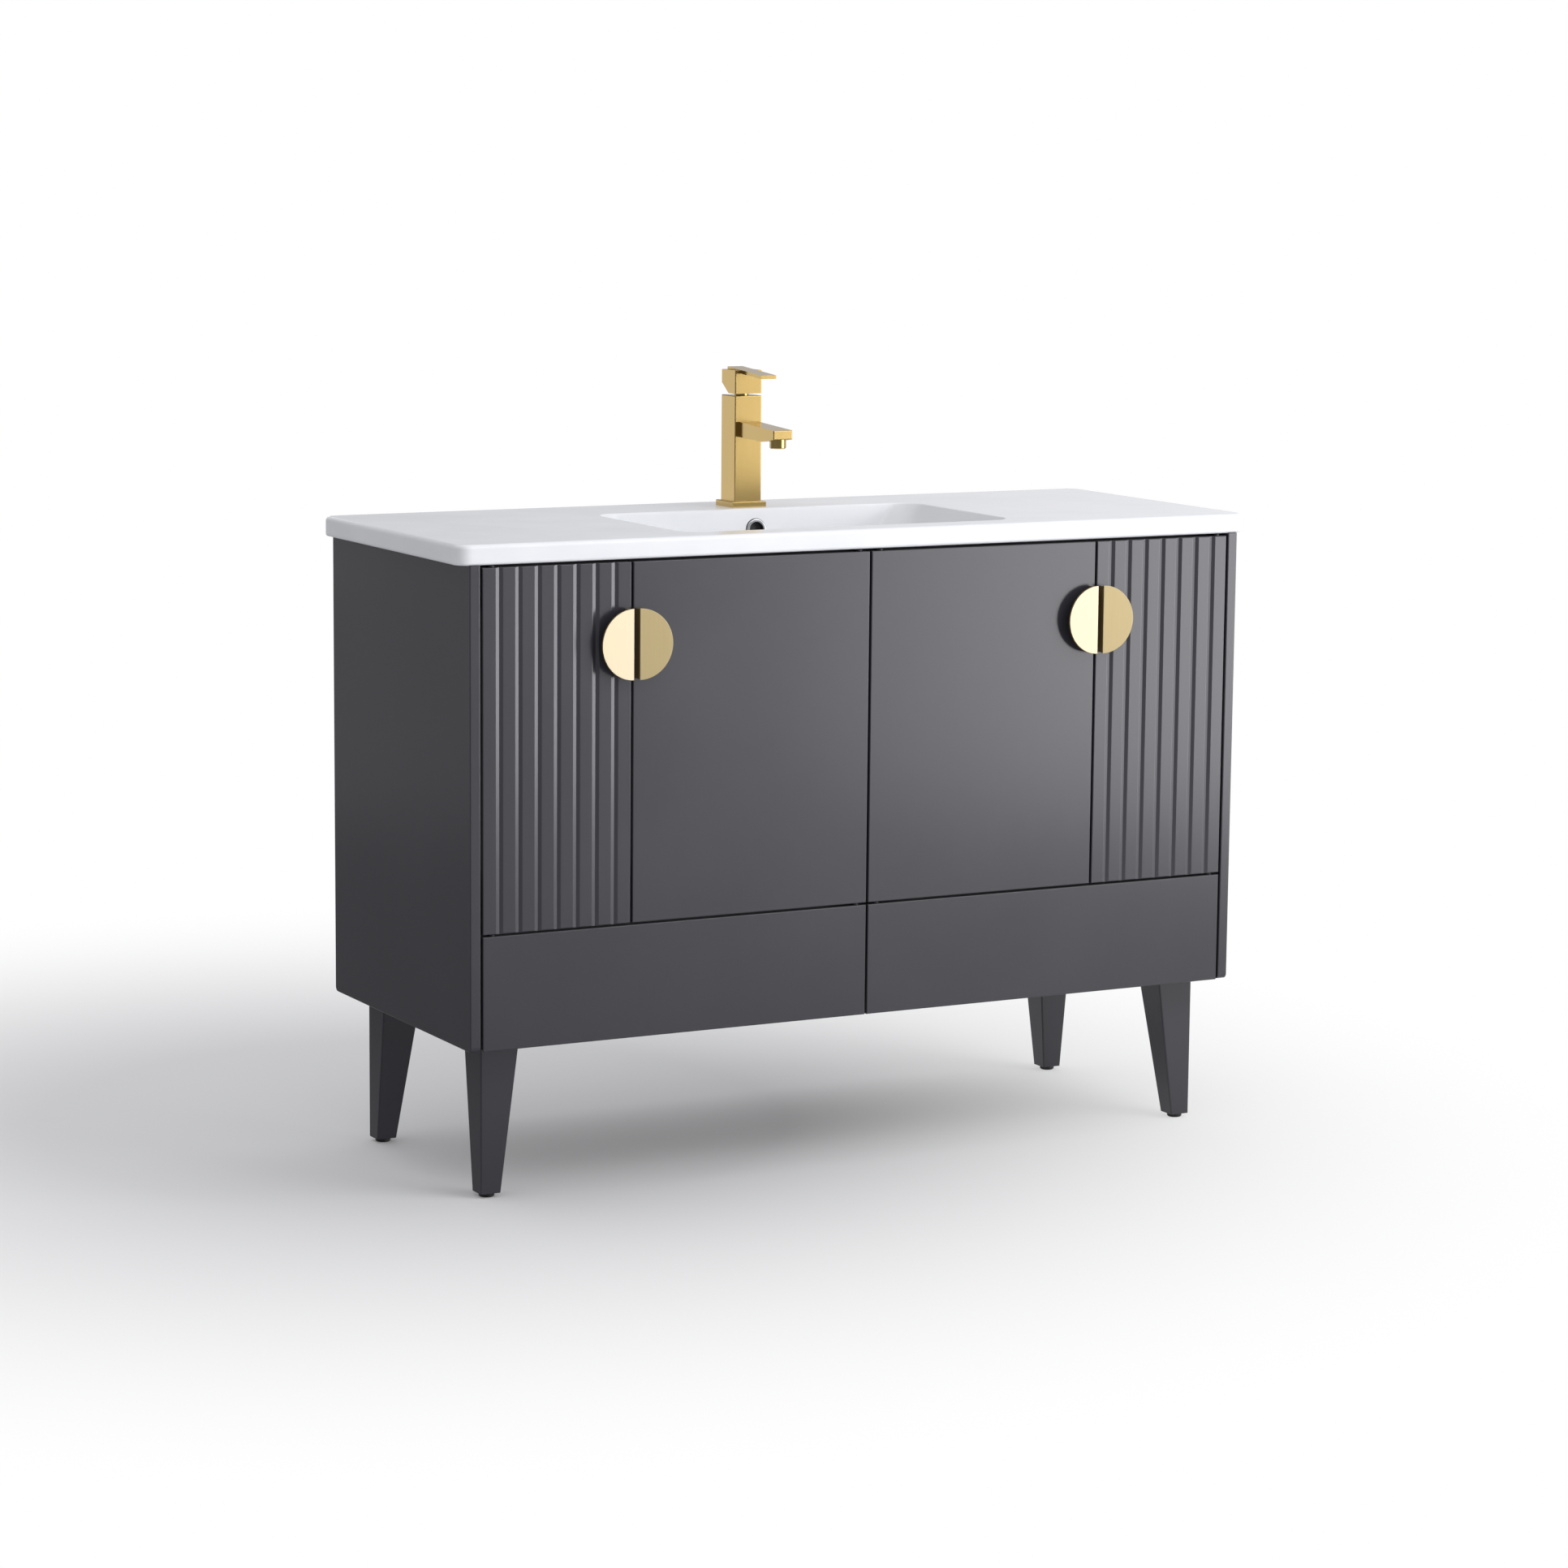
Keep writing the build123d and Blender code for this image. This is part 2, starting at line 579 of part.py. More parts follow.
def basin_top():
    """The ceramic top: a rimmed slab that is hollow below, with the bowl hanging from it."""
    middle = (FRONT + BACK) / 2
    outline = Pos(0, middle, SLAB_BOTTOM) * RectangleRounded(SLAB_WIDTH, CABINET_DEPTH, SLAB_CORNER)
    slab = extrude(outline, SLAB_THICK)
    slab = fillet(slab.faces().sort_by(Axis.Z)[-1].edges(), SLAB_TOP_ROUND)
    slab = fillet(slab.faces().sort_by(Axis.Z)[0].edges(), SLAB_LOWER_ROUND)
    pocket_x = INNER - SLAB_RIM_MARGIN
    pocket_y = (BOARD_BACK + SLAB_RIM_MARGIN, BACK - PANEL - SLAB_RIM_MARGIN)
    slab -= board((-pocket_x, pocket_x), pocket_y, (SLAB_BOTTOM, COUNTER_HEIGHT - SLAB_SKIN))
    shell = bowl_form(BOWL_WALL)
    below_deck = board((-pocket_x, pocket_x), (FRONT, BACK), (0, COUNTER_HEIGHT - SLAB_SKIN / 2))
    slab += shell & below_deck
    slab -= bowl_form(0)
    slab = fillet(slab.faces().sort_by(Axis.Z)[-1].inner_wires()[0].edges(), BOWL_RIM_ROUND)
    slab -= rod(DRAIN_HOLE_RADIUS, 0, DRAIN_Y, (BOWL_FLOOR - 2 * BOWL_WALL, BOWL_FLOOR + BOWL_WALL))
    slab -= rod(FAUCET_HOLE_RADIUS, 0, FAUCET_Y, (SLAB_BOTTOM, COUNTER_HEIGHT))
    return slab - overflow_plane() * Cylinder(OVERFLOW_RADIUS, 2 * OVERFLOW_DEPTH)


def overflow_ring():
    """The trim ring round the overflow."""
    outer = Cylinder(OVERFLOW_RADIUS + OVERFLOW_RING_WIDTH, OVERFLOW_RING_PROUD, align=STANDING)
    outer = fillet(outer.edges().group_by(Axis.Z)[-1], OVERFLOW_RING_PROUD / 2)
    return overflow_plane() * (outer - Cylinder(OVERFLOW_RADIUS, 3 * OVERFLOW_RING_PROUD))


# Drain

def hexagon(radius, x, y, z):
    """An upright hexagonal block, by the radius to its flats."""
    return Pos(x, y, min(z)) * extrude(RegularPolygon(radius, 6, major_radius=False), abs(z[1] - z[0]))


def drain_flange():
    """The drain's flange and threaded body, with the hub that guides the stopper."""
    top = BOWL_FLOOR + DRAIN_FLANGE_THICK
    bottom = BOWL_FLOOR - DRAIN_BODY_LENGTH
    inner = DRAIN_BODY_RADIUS - DRAIN_BODY_WALL
    body = rod(DRAIN_FLANGE_RADIUS, 0, DRAIN_Y, (BOWL_FLOOR, top))
    body += rod(DRAIN_BODY_RADIUS, 0, DRAIN_Y, (bottom, top))
    body -= rod(inner, 0, DRAIN_Y, (bottom, top))
    hub = (BOWL_FLOOR - DRAIN_HUB_DROP - DRAIN_HUB_HEIGHT, BOWL_FLOOR - DRAIN_HUB_DROP)
    spider = rod(DRAIN_HUB_RADIUS, 0, DRAIN_Y, hub)
    reach = inner + DRAIN_BODY_WALL / 2
    spider += board((-reach, reach), centred(DRAIN_Y, DRAIN_RIB), hub)
    return body + spider - rod(STOPPER_STEM_RADIUS + RUNNING_FIT, 0, DRAIN_Y, hub)


def drain_gasket():
    """The rubber ring between the bowl and the nut."""
    top = BOWL_FLOOR - BOWL_WALL
    return tube(DRAIN_NUT_RADIUS, DRAIN_BODY_RADIUS, 0, DRAIN_Y, (top - DRAIN_GASKET, top))


def drain_nut():
    """The nut that pulls the drain against the bowl."""
    top = BOWL_FLOOR - BOWL_WALL - DRAIN_GASKET
    heights = (top - DRAIN_NUT_HEIGHT, top)
    return hexagon(DRAIN_NUT_RADIUS, 0, DRAIN_Y, heights) - rod(DRAIN_BODY_RADIUS, 0, DRAIN_Y, heights)


def drain_tailpiece():
    """The tube that a trap slides on."""
    top = BOWL_FLOOR - DRAIN_BODY_LENGTH
    pipe = rod(DRAIN_BODY_RADIUS, 0, DRAIN_Y, (top - TAIL_COLLAR, top))
    pipe += rod(TAIL_RADIUS, 0, DRAIN_Y, (top - TAIL_LENGTH, top))
    return pipe - rod(TAIL_RADIUS - TAIL_WALL, 0, DRAIN_Y, (top - TAIL_LENGTH, top))


def drain_stopper():
    """The domed stopper on its stem."""
    seat = BOWL_FLOOR + DRAIN_FLANGE_THICK
    cap = rod(STOPPER_RADIUS, 0, DRAIN_Y, (seat, seat + STOPPER_HEIGHT))
    cap = fillet(cap.edges().group_by(Axis.Z)[-1], STOPPER_ROUND)
    return cap + rod(STOPPER_STEM_RADIUS, 0, DRAIN_Y, (seat - STOPPER_STEM_LENGTH, seat))


# Faucet

def square_post(size, z):
    """An upright square bar on the faucet's axis."""
    return board(centred(0, size), centred(FAUCET_Y, size), z)


def faucet_base():
    """The thin square plate under the column."""
    plate = square_post(FAUCET_BASE_SIZE, (COUNTER_HEIGHT, COUNTER_HEIGHT + FAUCET_BASE_HEIGHT))
    return fillet(plate.faces().sort_by(Axis.Z)[-1].edges(), FAUCET_EDGE)


def faucet_body():
    """The square column and its spout, which falls a little and thins towards its tip."""
    column = square_post(FAUCET_SIZE, (COUNTER_HEIGHT + FAUCET_BASE_HEIGHT, COLUMN_TOP))
    column = fillet(column.edges().filter_by(Axis.Z), FAUCET_EDGE)
    column = fillet(column.faces().sort_by(Axis.Z)[-1].edges(), FAUCET_EDGE)
    root = -FAUCET_SIZE / 2
    tip_top = SPOUT_TOP - SPOUT_FALL
    outline = [(root, SPOUT_TOP), (SPOUT_REACH, tip_top), (SPOUT_REACH, tip_top - SPOUT_TIP_HEIGHT)]
    outline += [(SPOUT_BEND_REACH, SPOUT_TOP - SPOUT_BEND_DROP), (root, SPOUT_TOP - SPOUT_ROOT_HEIGHT)]
    points = [(FAUCET_FRONT - along, height) for along, height in outline]
    spout = prism_x(points, centred(0, SPOUT_WIDTH))
    spout = fillet(spout.faces().sort_by(Axis.Y)[0].edges(), FAUCET_EDGE)
    boss = rod(AERATOR_RADIUS, 0, aerator_y(), (AERATOR_SEAT, tip_top - SPOUT_TIP_HEIGHT / 2))
    return column + spout + boss


def aerator_y():
    """The place of the aerator under the spout's tip."""
    return FAUCET_FRONT - SPOUT_REACH + AERATOR_FROM_TIP


def faucet_aerator():
    """The round aerator under the spout."""
    low = AERATOR_SEAT - AERATOR_HEIGHT
    body = rod(AERATOR_RADIUS, 0, aerator_y(), (low, AERATOR_SEAT))
    body = chamfer(body.edges().group_by(Axis.Z)[0], FAUCET_EDGE)
    return body - rod(AERATOR_BORE, 0, aerator_y(), (low, low + AERATOR_HEIGHT / 2))


def faucet_shank():
    """The threaded shank through the deck, with the two hose sockets in its end."""
    bottom = COUNTER_HEIGHT - SHANK_LENGTH
    shank = rod(SHANK_RADIUS, 0, FAUCET_Y, (bottom, COUNTER_HEIGHT))
    for _, side in SIDES:
        shank -= rod(INLET_RADIUS, side * INLET_SPACING / 2, FAUCET_Y, (bottom, bottom + INLET_DEPTH))
    return shank


def faucet_nut():
    """The nut that clamps the faucet to the deck."""
    top = COUNTER_HEIGHT - SLAB_SKIN
    heights = (top - SHANK_NUT_HEIGHT, top)
    outside = hexagon(SHANK_RADIUS + SHANK_NUT_WALL, 0, FAUCET_Y, heights)
    return outside - rod(SHANK_RADIUS, 0, FAUCET_Y, heights)


def cross_pin(radius, length):
    """A round bar along X on the handle's tilt axis."""
    return Pos(0, FAUCET_Y, HANDLE_PIN_Z) * Rot(0, 90, 0) * Cylinder(radius, length)


def handle_pin_length():
    """The length of the pin that carries the handle."""
    return FAUCET_SIZE - 2 * HANDLE_PIN_INSET


def faucet_stem():
    """The neck that turns on the column, with the lug and cross pin that carry the handle."""
    neck = rod(NECK_RADIUS, 0, FAUCET_Y, (COLUMN_TOP, HANDLE_BOTTOM - NECK_GAP))
    lug_top = HANDLE_PIN_Z + LUG_ABOVE_PIN
    lug = board(centred(0, LUG_WIDTH), centred(FAUCET_Y, LUG_DEPTH), (HANDLE_BOTTOM - NECK_GAP, lug_top))
    return neck + lug + cross_pin(HANDLE_PIN_RADIUS, handle_pin_length())


def faucet_handle():
    """The handle block with its chamfered rear, hollowed for the lug, and the flat lever on top."""
    half = FAUCET_SIZE / 2
    front, rear = FAUCET_Y - half, FAUCET_Y + half
    top = HANDLE_BOTTOM + HANDLE_HEIGHT
    outline = [(front, HANDLE_BOTTOM), (FAUCET_Y, HANDLE_BOTTOM)]
    outline += [(rear, HANDLE_BOTTOM + HANDLE_CHAMFER_HEIGHT), (rear, top), (front, top)]
    block = prism_x(outline, centred(0, FAUCET_SIZE))
    block = fillet(block.edges().filter_by(Axis.Z), FAUCET_EDGE)
    lever_rear = top + LEVER_RISE
    tip = rear - LEVER_LENGTH
    tip_top = lever_rear - LEVER_FALL
    lever = [(rear, lever_rear), (tip, tip_top)]
    lever += [(y, z - LEVER_THICK) for y, z in reversed(lever)]
    block += prism_x(lever, centred(0, LEVER_WIDTH))
    corner = hypot(LUG_DEPTH / 2, HANDLE_PIN_UP) + LUG_CLEARANCE
    slot = LUG_WIDTH + 2 * LUG_CLEARANCE
    block -= cross_pin(corner, slot)
    block -= board(centred(0, slot), centred(FAUCET_Y, 2 * corner), (HANDLE_BOTTOM, HANDLE_PIN_Z))
    return block - cross_pin(HANDLE_PIN_RADIUS + RUNNING_FIT, handle_pin_length() + 2 * LUG_CLEARANCE)


# All the pieces by name

def carcass_pieces():
    """The fixed pieces of the cabinet."""
    pieces = {f"{name}_side_panel": side_panel(side) for name, side in SIDES}
    pieces["bottom_panel"] = board((-INNER, INNER), (BOARD_FRONT, BOARD_REAR), (BASE_BOTTOM, BASE_TOP))
    pieces["middle_shelf"] = board((-INNER, INNER), (BOARD_FRONT, BACK), (SHELF_BOTTOM, SHELF_TOP))
    pieces["drawer_partition"] = board(centred(0, PANEL), (BOARD_FRONT, BOARD_REAR), (BASE_TOP, SHELF_BOTTOM))
    pieces["back_panel"] = board((-INNER, INNER), (BOARD_REAR, BACK), (BASE_BOTTOM, SHELF_BOTTOM))
    pieces["centre_stile"] = centre_stile()
    pieces["front_rail"] = front_rail()
    pieces["back_rail"] = back_rail()
    pieces["pivot_plates"] = pivot_plates()
    pieces["magnetic_catches"] = magnetic_catches()
    slides = [cabinet_slide(*wall) for _, side in SIDES for wall in slide_walls(side)]
    pieces["cabinet_slides"] = Compound(children=slides)
    return pieces


def leg_pieces():
    """The legs with their plates, sockets and feet."""
    corners = [(f"{end_name}_{name}", side, end) for end_name, end in ENDS for name, side in SIDES]
    pieces = {f"{corner}_leg": leg(side, end) for corner, side, end in corners}
    pieces |= {f"{corner}_foot": levelling_foot(side, end) for corner, side, end in corners}
    pieces["leg_plates"] = Compound(children=[leg_plate(side, end) for _, side, end in corners])
    pieces["foot_sockets"] = Compound(children=[foot_socket(side, end) for _, side, end in corners])
    return pieces


def door_pieces():
    """The four doors with their pulls and fittings."""
    pieces = {}
    for name, side in SIDES:
        pieces[f"{name}_fluted_door"] = fluted_door(side)
        pieces[f"{name}_fluted_pull"] = pull(side, -1)
        pieces[f"{name}_fluted_fittings"] = door_fittings(side * OUTER_PIVOT, catch_span(side, -1))
        pieces[f"{name}_flat_door"] = flat_door(side)
        pieces[f"{name}_flat_pull"] = pull(side, 1)
        pieces[f"{name}_flat_fittings"] = door_fittings(side * CENTRE_PIVOT, catch_span(side, 1))
    return pieces


def drawer_pieces():
    """The two drawers with the moving members of their slides."""
    pieces = {}
    for name, side in SIDES:
        walls = slide_walls(side)
        pieces[f"{name}_drawer_front"] = drawer_front(side)
        pieces[f"{name}_drawer_box"] = drawer_box(side)
        pieces[f"{name}_drawer_bottom"] = drawer_bottom(side)
        pieces[f"{name}_drawer_slides"] = Compound(children=[drawer_slide(*wall) for wall in walls])
        pieces[f"{name}_middle_slides"] = Compound(children=[middle_slide(*wall) for wall in walls])
    return pieces


def basin_pieces():
    """The ceramic top, the drain and the faucet."""
    makers = (basin_top, overflow_ring, drain_flange, drain_gasket, drain_nut, drain_tailpiece, drain_stopper,
              faucet_base, faucet_body, faucet_aerator, faucet_shank, faucet_nut, faucet_stem, faucet_handle)
    return {maker.__name__: maker() for maker in makers}


os.makedirs("parts", exist_ok=True)
for make in (carcass_pieces, leg_pieces, door_pieces, drawer_pieces, basin_pieces):
    for node, shape in make().items():
        export_step(shape, f"parts/{node}.step")
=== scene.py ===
import logging
import math
from dataclasses import dataclass, field
from enum import Enum
from typing import Any

import bmesh
import bpy
import numpy as np
from mathutils import Matrix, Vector
from numpy.typing import ArrayLike


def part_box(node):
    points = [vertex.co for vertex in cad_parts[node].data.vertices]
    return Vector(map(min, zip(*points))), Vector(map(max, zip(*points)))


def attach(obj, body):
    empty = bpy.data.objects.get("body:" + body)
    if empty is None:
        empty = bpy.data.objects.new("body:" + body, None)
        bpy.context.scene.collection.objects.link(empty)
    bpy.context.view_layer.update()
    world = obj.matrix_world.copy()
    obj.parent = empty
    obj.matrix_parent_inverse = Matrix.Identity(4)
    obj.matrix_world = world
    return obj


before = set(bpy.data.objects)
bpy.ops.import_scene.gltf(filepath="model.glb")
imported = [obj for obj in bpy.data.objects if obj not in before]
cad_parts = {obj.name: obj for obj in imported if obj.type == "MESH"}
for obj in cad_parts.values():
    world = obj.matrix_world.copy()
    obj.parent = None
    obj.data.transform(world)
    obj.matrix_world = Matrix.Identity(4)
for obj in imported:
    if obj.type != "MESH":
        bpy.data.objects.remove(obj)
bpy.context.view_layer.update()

logging.basicConfig(level=logging.INFO, format="%(message)s")
LOG = logging.getLogger("vanity")
NODES: dict[str, bpy.types.Object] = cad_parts
MM = 0.001
WHITE = (1.0, 1.0, 1.0, 1.0)
TONE_ENDS = (0.3, 0.7)
MERGE_DISTANCE = 1e-7

Point = tuple[float, float, float]
Span = tuple[float, float]


class Side(Enum):
    """The two halves of the cabinet, as the nodes' names give them."""

    LEFT = "left"
    RIGHT = "right"


class Facing(Enum):
    """The way a small piece looks out of its place."""

    BACK = (0.0, 1.0, 0.0)
    DOWN = (0.0, 0.0, -1.0)


def linear(colour: str) -> tuple[float, float, float, float]:
    """Turn an sRGB hex colour into linear light.

    Args:
        colour: Six hex digits after a hash sign.

    Returns:
        Red, green and blue in linear light, and an alpha of 1.
    """
    srgb = np.array([int(colour[i:i + 2], 16) for i in (1, 3, 5)]) / 255.0
    light = np.where(srgb <= 0.04045, srgb / 12.92, ((srgb + 0.055) / 1.055) ** 2.4)
    return (float(light[0]), float(light[1]), float(light[2]), 1.0)


def add_node(
    tree: bpy.types.NodeTree,
    kind: str,
    sockets: dict[str | int, Any] | None = None,
    tones: tuple[str, ...] = (),
    **settings: Any,
) -> bpy.types.Node:
    """Add one node, set it up and link what goes into it.

    Args:
        tree: Node tree that gets the node.
        kind: Blender's name of the node's type.
        sockets: Input sockets with the value that each one holds, or the output that each one is linked to,
            where a node stands for its first output.
        tones: Hex colours at the low and the high end, for a ramp.
        settings: Properties of the node itself.

    Returns:
        The new node.
    """
    node = tree.nodes.new(kind)
    for name, value in settings.items():
        setattr(node, name, value)
    for end, (position, tone) in enumerate(zip(TONE_ENDS, tones)):
        stop = node.color_ramp.elements[end]
        stop.position, stop.color = position, linear(tone)
    for socket, value in (sockets or {}).items():
        if isinstance(value, bpy.types.Node):
            tree.links.new(value.outputs[0], node.inputs[socket])
        elif isinstance(value, bpy.types.NodeSocket):
            tree.links.new(value, node.inputs[socket])
        else:
            node.inputs[socket].default_value = value
    return node


def start_material(name: str) -> tuple[bpy.types.Material, bpy.types.NodeTree, bpy.types.NodeSocket]:
    """Make an empty node material.

    Args:
        name: Name of the real finish.

    Returns:
        The material, its node tree, and the Object coordinates that its patterns read, in metres.
    """
    material = bpy.data.materials.new(name)
    material.use_nodes = True
    material.node_tree.nodes.clear()
    place = add_node(material.node_tree, "ShaderNodeTexCoord")
    return material, material.node_tree, place.outputs["Object"]


def per_metre(size_mm: float) -> float:
    """Pattern scale at which one cell is as wide as a size in millimetres."""
    return 1000.0 / size_mm


# Finishes


@dataclass(frozen=True)
class SatinPaint:
    """Satin lacquer sprayed on MDF: an even dark grey with a faint orange peel and a soft sheen.

    The upper and lower edges of the boards are only primed, and stay dull.
    """

    name: str = "satin_lacquer_on_mdf"
    colour: str = "#3a393f"
    shade: str = "#37363c"
    roughness: Span = (0.19, 0.23)
    ior: float = 1.55
    primed: float = 0.95
    primed_level: Span = (0.9, 0.99)
    cloud_mm: float = 180.0
    cloud_detail: float = 3.0
    peel_mm: float = 1.4
    peel_detail: float = 1.0
    peel_strength: float = 0.05
    peel_depth: float = 0.2 * MM

    def material(self) -> bpy.types.Material:
        """Build the lacquer: cloudy tone, cloudy sheen and the orange peel as bump.

        Returns:
            The material.
        """
        material, tree, place = start_material(self.name)
        cloud = add_node(tree, "ShaderNodeTexNoise", {
            "Vector": place, "Scale": per_metre(self.cloud_mm), "Detail": self.cloud_detail})
        tone = add_node(tree, "ShaderNodeValToRGB", {"Fac": cloud}, tones=(self.shade, self.colour))
        low, high = self.roughness
        sheen = add_node(tree, "ShaderNodeMapRange", {"Value": cloud, "To Min": low, "To Max": high})
        normal = add_node(tree, "ShaderNodeTexCoord").outputs["Normal"]
        upright = add_node(tree, "ShaderNodeSeparateXYZ", {"Vector": normal}).outputs["Z"]
        level = add_node(tree, "ShaderNodeMath", {0: upright}, operation="ABSOLUTE")
        start, end = self.primed_level
        primed = add_node(tree, "ShaderNodeMapRange", {
            "Value": level, "From Min": start, "From Max": end, "To Max": self.primed})
        dull = add_node(tree, "ShaderNodeMath", {0: sheen, 1: primed}, operation="MAXIMUM")
        peel = add_node(tree, "ShaderNodeTexNoise", {
            "Vector": place, "Scale": per_metre(self.peel_mm), "Detail": self.peel_detail})
        bump = add_node(tree, "ShaderNodeBump", {
            "Height": peel, "Strength": self.peel_strength, "Distance": self.peel_depth})
        shader = add_node(tree, "ShaderNodeBsdfPrincipled", {
            "Base Color": tone, "Roughness": dull, "IOR": self.ior, "Normal": bump})
        add_node(tree, "ShaderNodeOutputMaterial", {"Surface": shader})
        return material


@dataclass(frozen=True)
class FoilBoard:
    """Board under a printed foil or melamine: a fine grain along the board and a dull surface."""

    name: str
    colour: str
    grain: str
    roughness: float
    grain_mm: Point
    grain_detail: float = 4.0
    grain_strength: float = 0.08
    grain_depth: float = 0.3 * MM

    def material(self) -> bpy.types.Material:
        """Build the foil: noise stretched along the board gives the grain.

        Returns:
            The material.
        """
        material, tree, place = start_material(self.name)
        stretch = add_node(tree, "ShaderNodeMapping", {
            "Vector": place, "Scale": [per_metre(size) for size in self.grain_mm]})
        fibre = add_node(tree, "ShaderNodeTexNoise", {
            "Vector": stretch, "Scale": 1.0, "Detail": self.grain_detail})
        tone = add_node(tree, "ShaderNodeValToRGB", {"Fac": fibre}, tones=(self.grain, self.colour))
        bump = add_node(tree, "ShaderNodeBump", {
            "Height": fibre, "Strength": self.grain_strength, "Distance": self.grain_depth})
        shader = add_node(tree, "ShaderNodeBsdfPrincipled", {
            "Base Color": tone, "Roughness": self.roughness, "Normal": bump})
        add_node(tree, "ShaderNodeOutputMaterial", {"Surface": shader})
        return material


@dataclass(frozen=True)
class GlazedCeramic:
    """White glaze fired on vitreous china: glossy, slightly wavy, and a touch cooler where it pools."""

    name: str = "white_glaze_on_vitreous_china"
    colour: str = "#ecedef"
    pool: str = "#e6e8eb"
    roughness: Span = (0.18, 0.26)
    ior: float = 1.52
    pool_mm: float = 120.0
    pool_detail: float = 2.0
    wave_mm: float = 45.0
    wave_detail: float = 1.0
    wave_strength: float = 0.06
    wave_depth: float = 1.0 * MM

    def material(self) -> bpy.types.Material:
        """Build the glaze: slow noise tints it, and waves its surface a little.

        Returns:
            The material.
        """
        material, tree, place = start_material(self.name)
        pool = add_node(tree, "ShaderNodeTexNoise", {
            "Vector": place, "Scale": per_metre(self.pool_mm), "Detail": self.pool_detail})
        tone = add_node(tree, "ShaderNodeValToRGB", {"Fac": pool}, tones=(self.pool, self.colour))
        low, high = self.roughness
        gloss = add_node(tree, "ShaderNodeMapRange", {"Value": pool, "To Min": low, "To Max": high})
        wave = add_node(tree, "ShaderNodeTexNoise", {
            "Vector": place, "Scale": per_metre(self.wave_mm), "Detail": self.wave_detail})
        bump = add_node(tree, "ShaderNodeBump", {
            "Height": wave, "Strength": self.wave_strength, "Distance": self.wave_depth})
        shader = add_node(tree, "ShaderNodeBsdfPrincipled", {
            "Base Color": tone, "Roughness": gloss, "IOR": self.ior, "Normal": bump})
        add_node(tree, "ShaderNodeOutputMaterial", {"Surface": shader})
        return material


@dataclass(frozen=True)
class BrushedMetal:
    """Metal with a fine brushed grain: long thin scratches that blur its reflections across the grain.

    The scratches of a real brushed face are about 0.05 mm wide; they are drawn coarser so that they show.
    A clear lacquer, where there is one, lays a pale clean reflection over the blurred one.
    """

    name: str
    colour: str
    shade: str
    roughness: Span
    grain_mm: Point
    grain_strength: float = 0.06
    grain_detail: float = 3.0
    grain_depth: float = 0.2 * MM
    lacquer: float = 0.0
    lacquer_ior: float = 1.7
    lacquer_roughness: float = 0.12

    def material(self) -> bpy.types.Material:
        """Build the metal: stretched noise varies its tone, its roughness and its bump.

        Returns:
            The material.
        """
        material, tree, place = start_material(self.name)
        stretch = add_node(tree, "ShaderNodeMapping", {
            "Vector": place, "Scale": [per_metre(size) for size in self.grain_mm]})
        lines = add_node(tree, "ShaderNodeTexNoise", {
            "Vector": stretch, "Scale": 1.0, "Detail": self.grain_detail})
        tone = add_node(tree, "ShaderNodeValToRGB", {"Fac": lines}, tones=(self.shade, self.colour))
        low, high = self.roughness
        blur = add_node(tree, "ShaderNodeMapRange", {"Value": lines, "To Min": low, "To Max": high})
        bump = add_node(tree, "ShaderNodeBump", {
            "Height": lines, "Strength": self.grain_strength, "Distance": self.grain_depth})
        shader = add_node(tree, "ShaderNodeBsdfPrincipled", {
            "Base Color": tone, "Metallic": 1.0, "Roughness": blur, "Normal": bump,
            "Coat Weight": self.lacquer, "Coat IOR": self.lacquer_ior,
            "Coat Roughness": self.lacquer_roughness})
        add_node(tree, "ShaderNodeOutputMaterial", {"Surface": shader})
        return material


@dataclass(frozen=True)
class ZincSteel:
    """Zinc-plated sheet steel: grey metal with a faint spangle of dull and bright patches."""

    name: str = "zinc_plated_sheet_steel"
    colour: str = "#b9bcc0"
    shade: str = "#b1b4b8"
    roughness: Span = (0.28, 0.42)
    spangle_mm: float = 3.0

    def material(self) -> bpy.types.Material:
        """Build the plating: Voronoi patches vary its tone and roughness.

        Returns:
            The material.
        """
        material, tree, place = start_material(self.name)
        patch = add_node(tree, "ShaderNodeTexVoronoi", {
            "Vector": place, "Scale": per_metre(self.spangle_mm)}).outputs
        tone = add_node(
            tree, "ShaderNodeValToRGB", {"Fac": patch["Color"]}, tones=(self.shade, self.colour))
        low, high = self.roughness
        blur = add_node(tree, "ShaderNodeMapRange", {
            "Value": patch["Distance"], "To Min": low, "To Max": high})
        shader = add_node(tree, "ShaderNodeBsdfPrincipled", {
            "Base Color": tone, "Metallic": 1.0, "Roughness": blur})
        add_node(tree, "ShaderNodeOutputMaterial", {"Surface": shader})
        return material


@dataclass(frozen=True)
class GrainedPolymer:
    """Moulded plastic or rubber: an even dark body with a fine spark-eroded grain that dulls it."""

    name: str
    colour: str
    shade: str
    roughness: float
    grain_mm: float = 0.8
    grain_detail: float = 2.0
    grain_strength: float = 0.15
    grain_depth: float = 0.1 * MM

    def material(self) -> bpy.types.Material:
        """Build the polymer: fine noise gives the moulded grain and a slight change of tone.

        Returns:
            The material.
        """
        material, tree, place = start_material(self.name)
        grain = add_node(tree, "ShaderNodeTexNoise", {
            "Vector": place, "Scale": per_metre(self.grain_mm), "Detail": self.grain_detail})
        tone = add_node(tree, "ShaderNodeValToRGB", {"Fac": grain}, tones=(self.shade, self.colour))
        bump = add_node(tree, "ShaderNodeBump", {
            "Height": grain, "Strength": self.grain_strength, "Distance": self.grain_depth})
        shader = add_node(tree, "ShaderNodeBsdfPrincipled", {
            "Base Color": tone, "Roughness": self.roughness, "Normal": bump})
        add_node(tree, "ShaderNodeOutputMaterial", {"Surface": shader})
        return material


Finish = SatinPaint | FoilBoard | GlazedCeramic | BrushedMetal | ZincSteel | GrainedPolymer

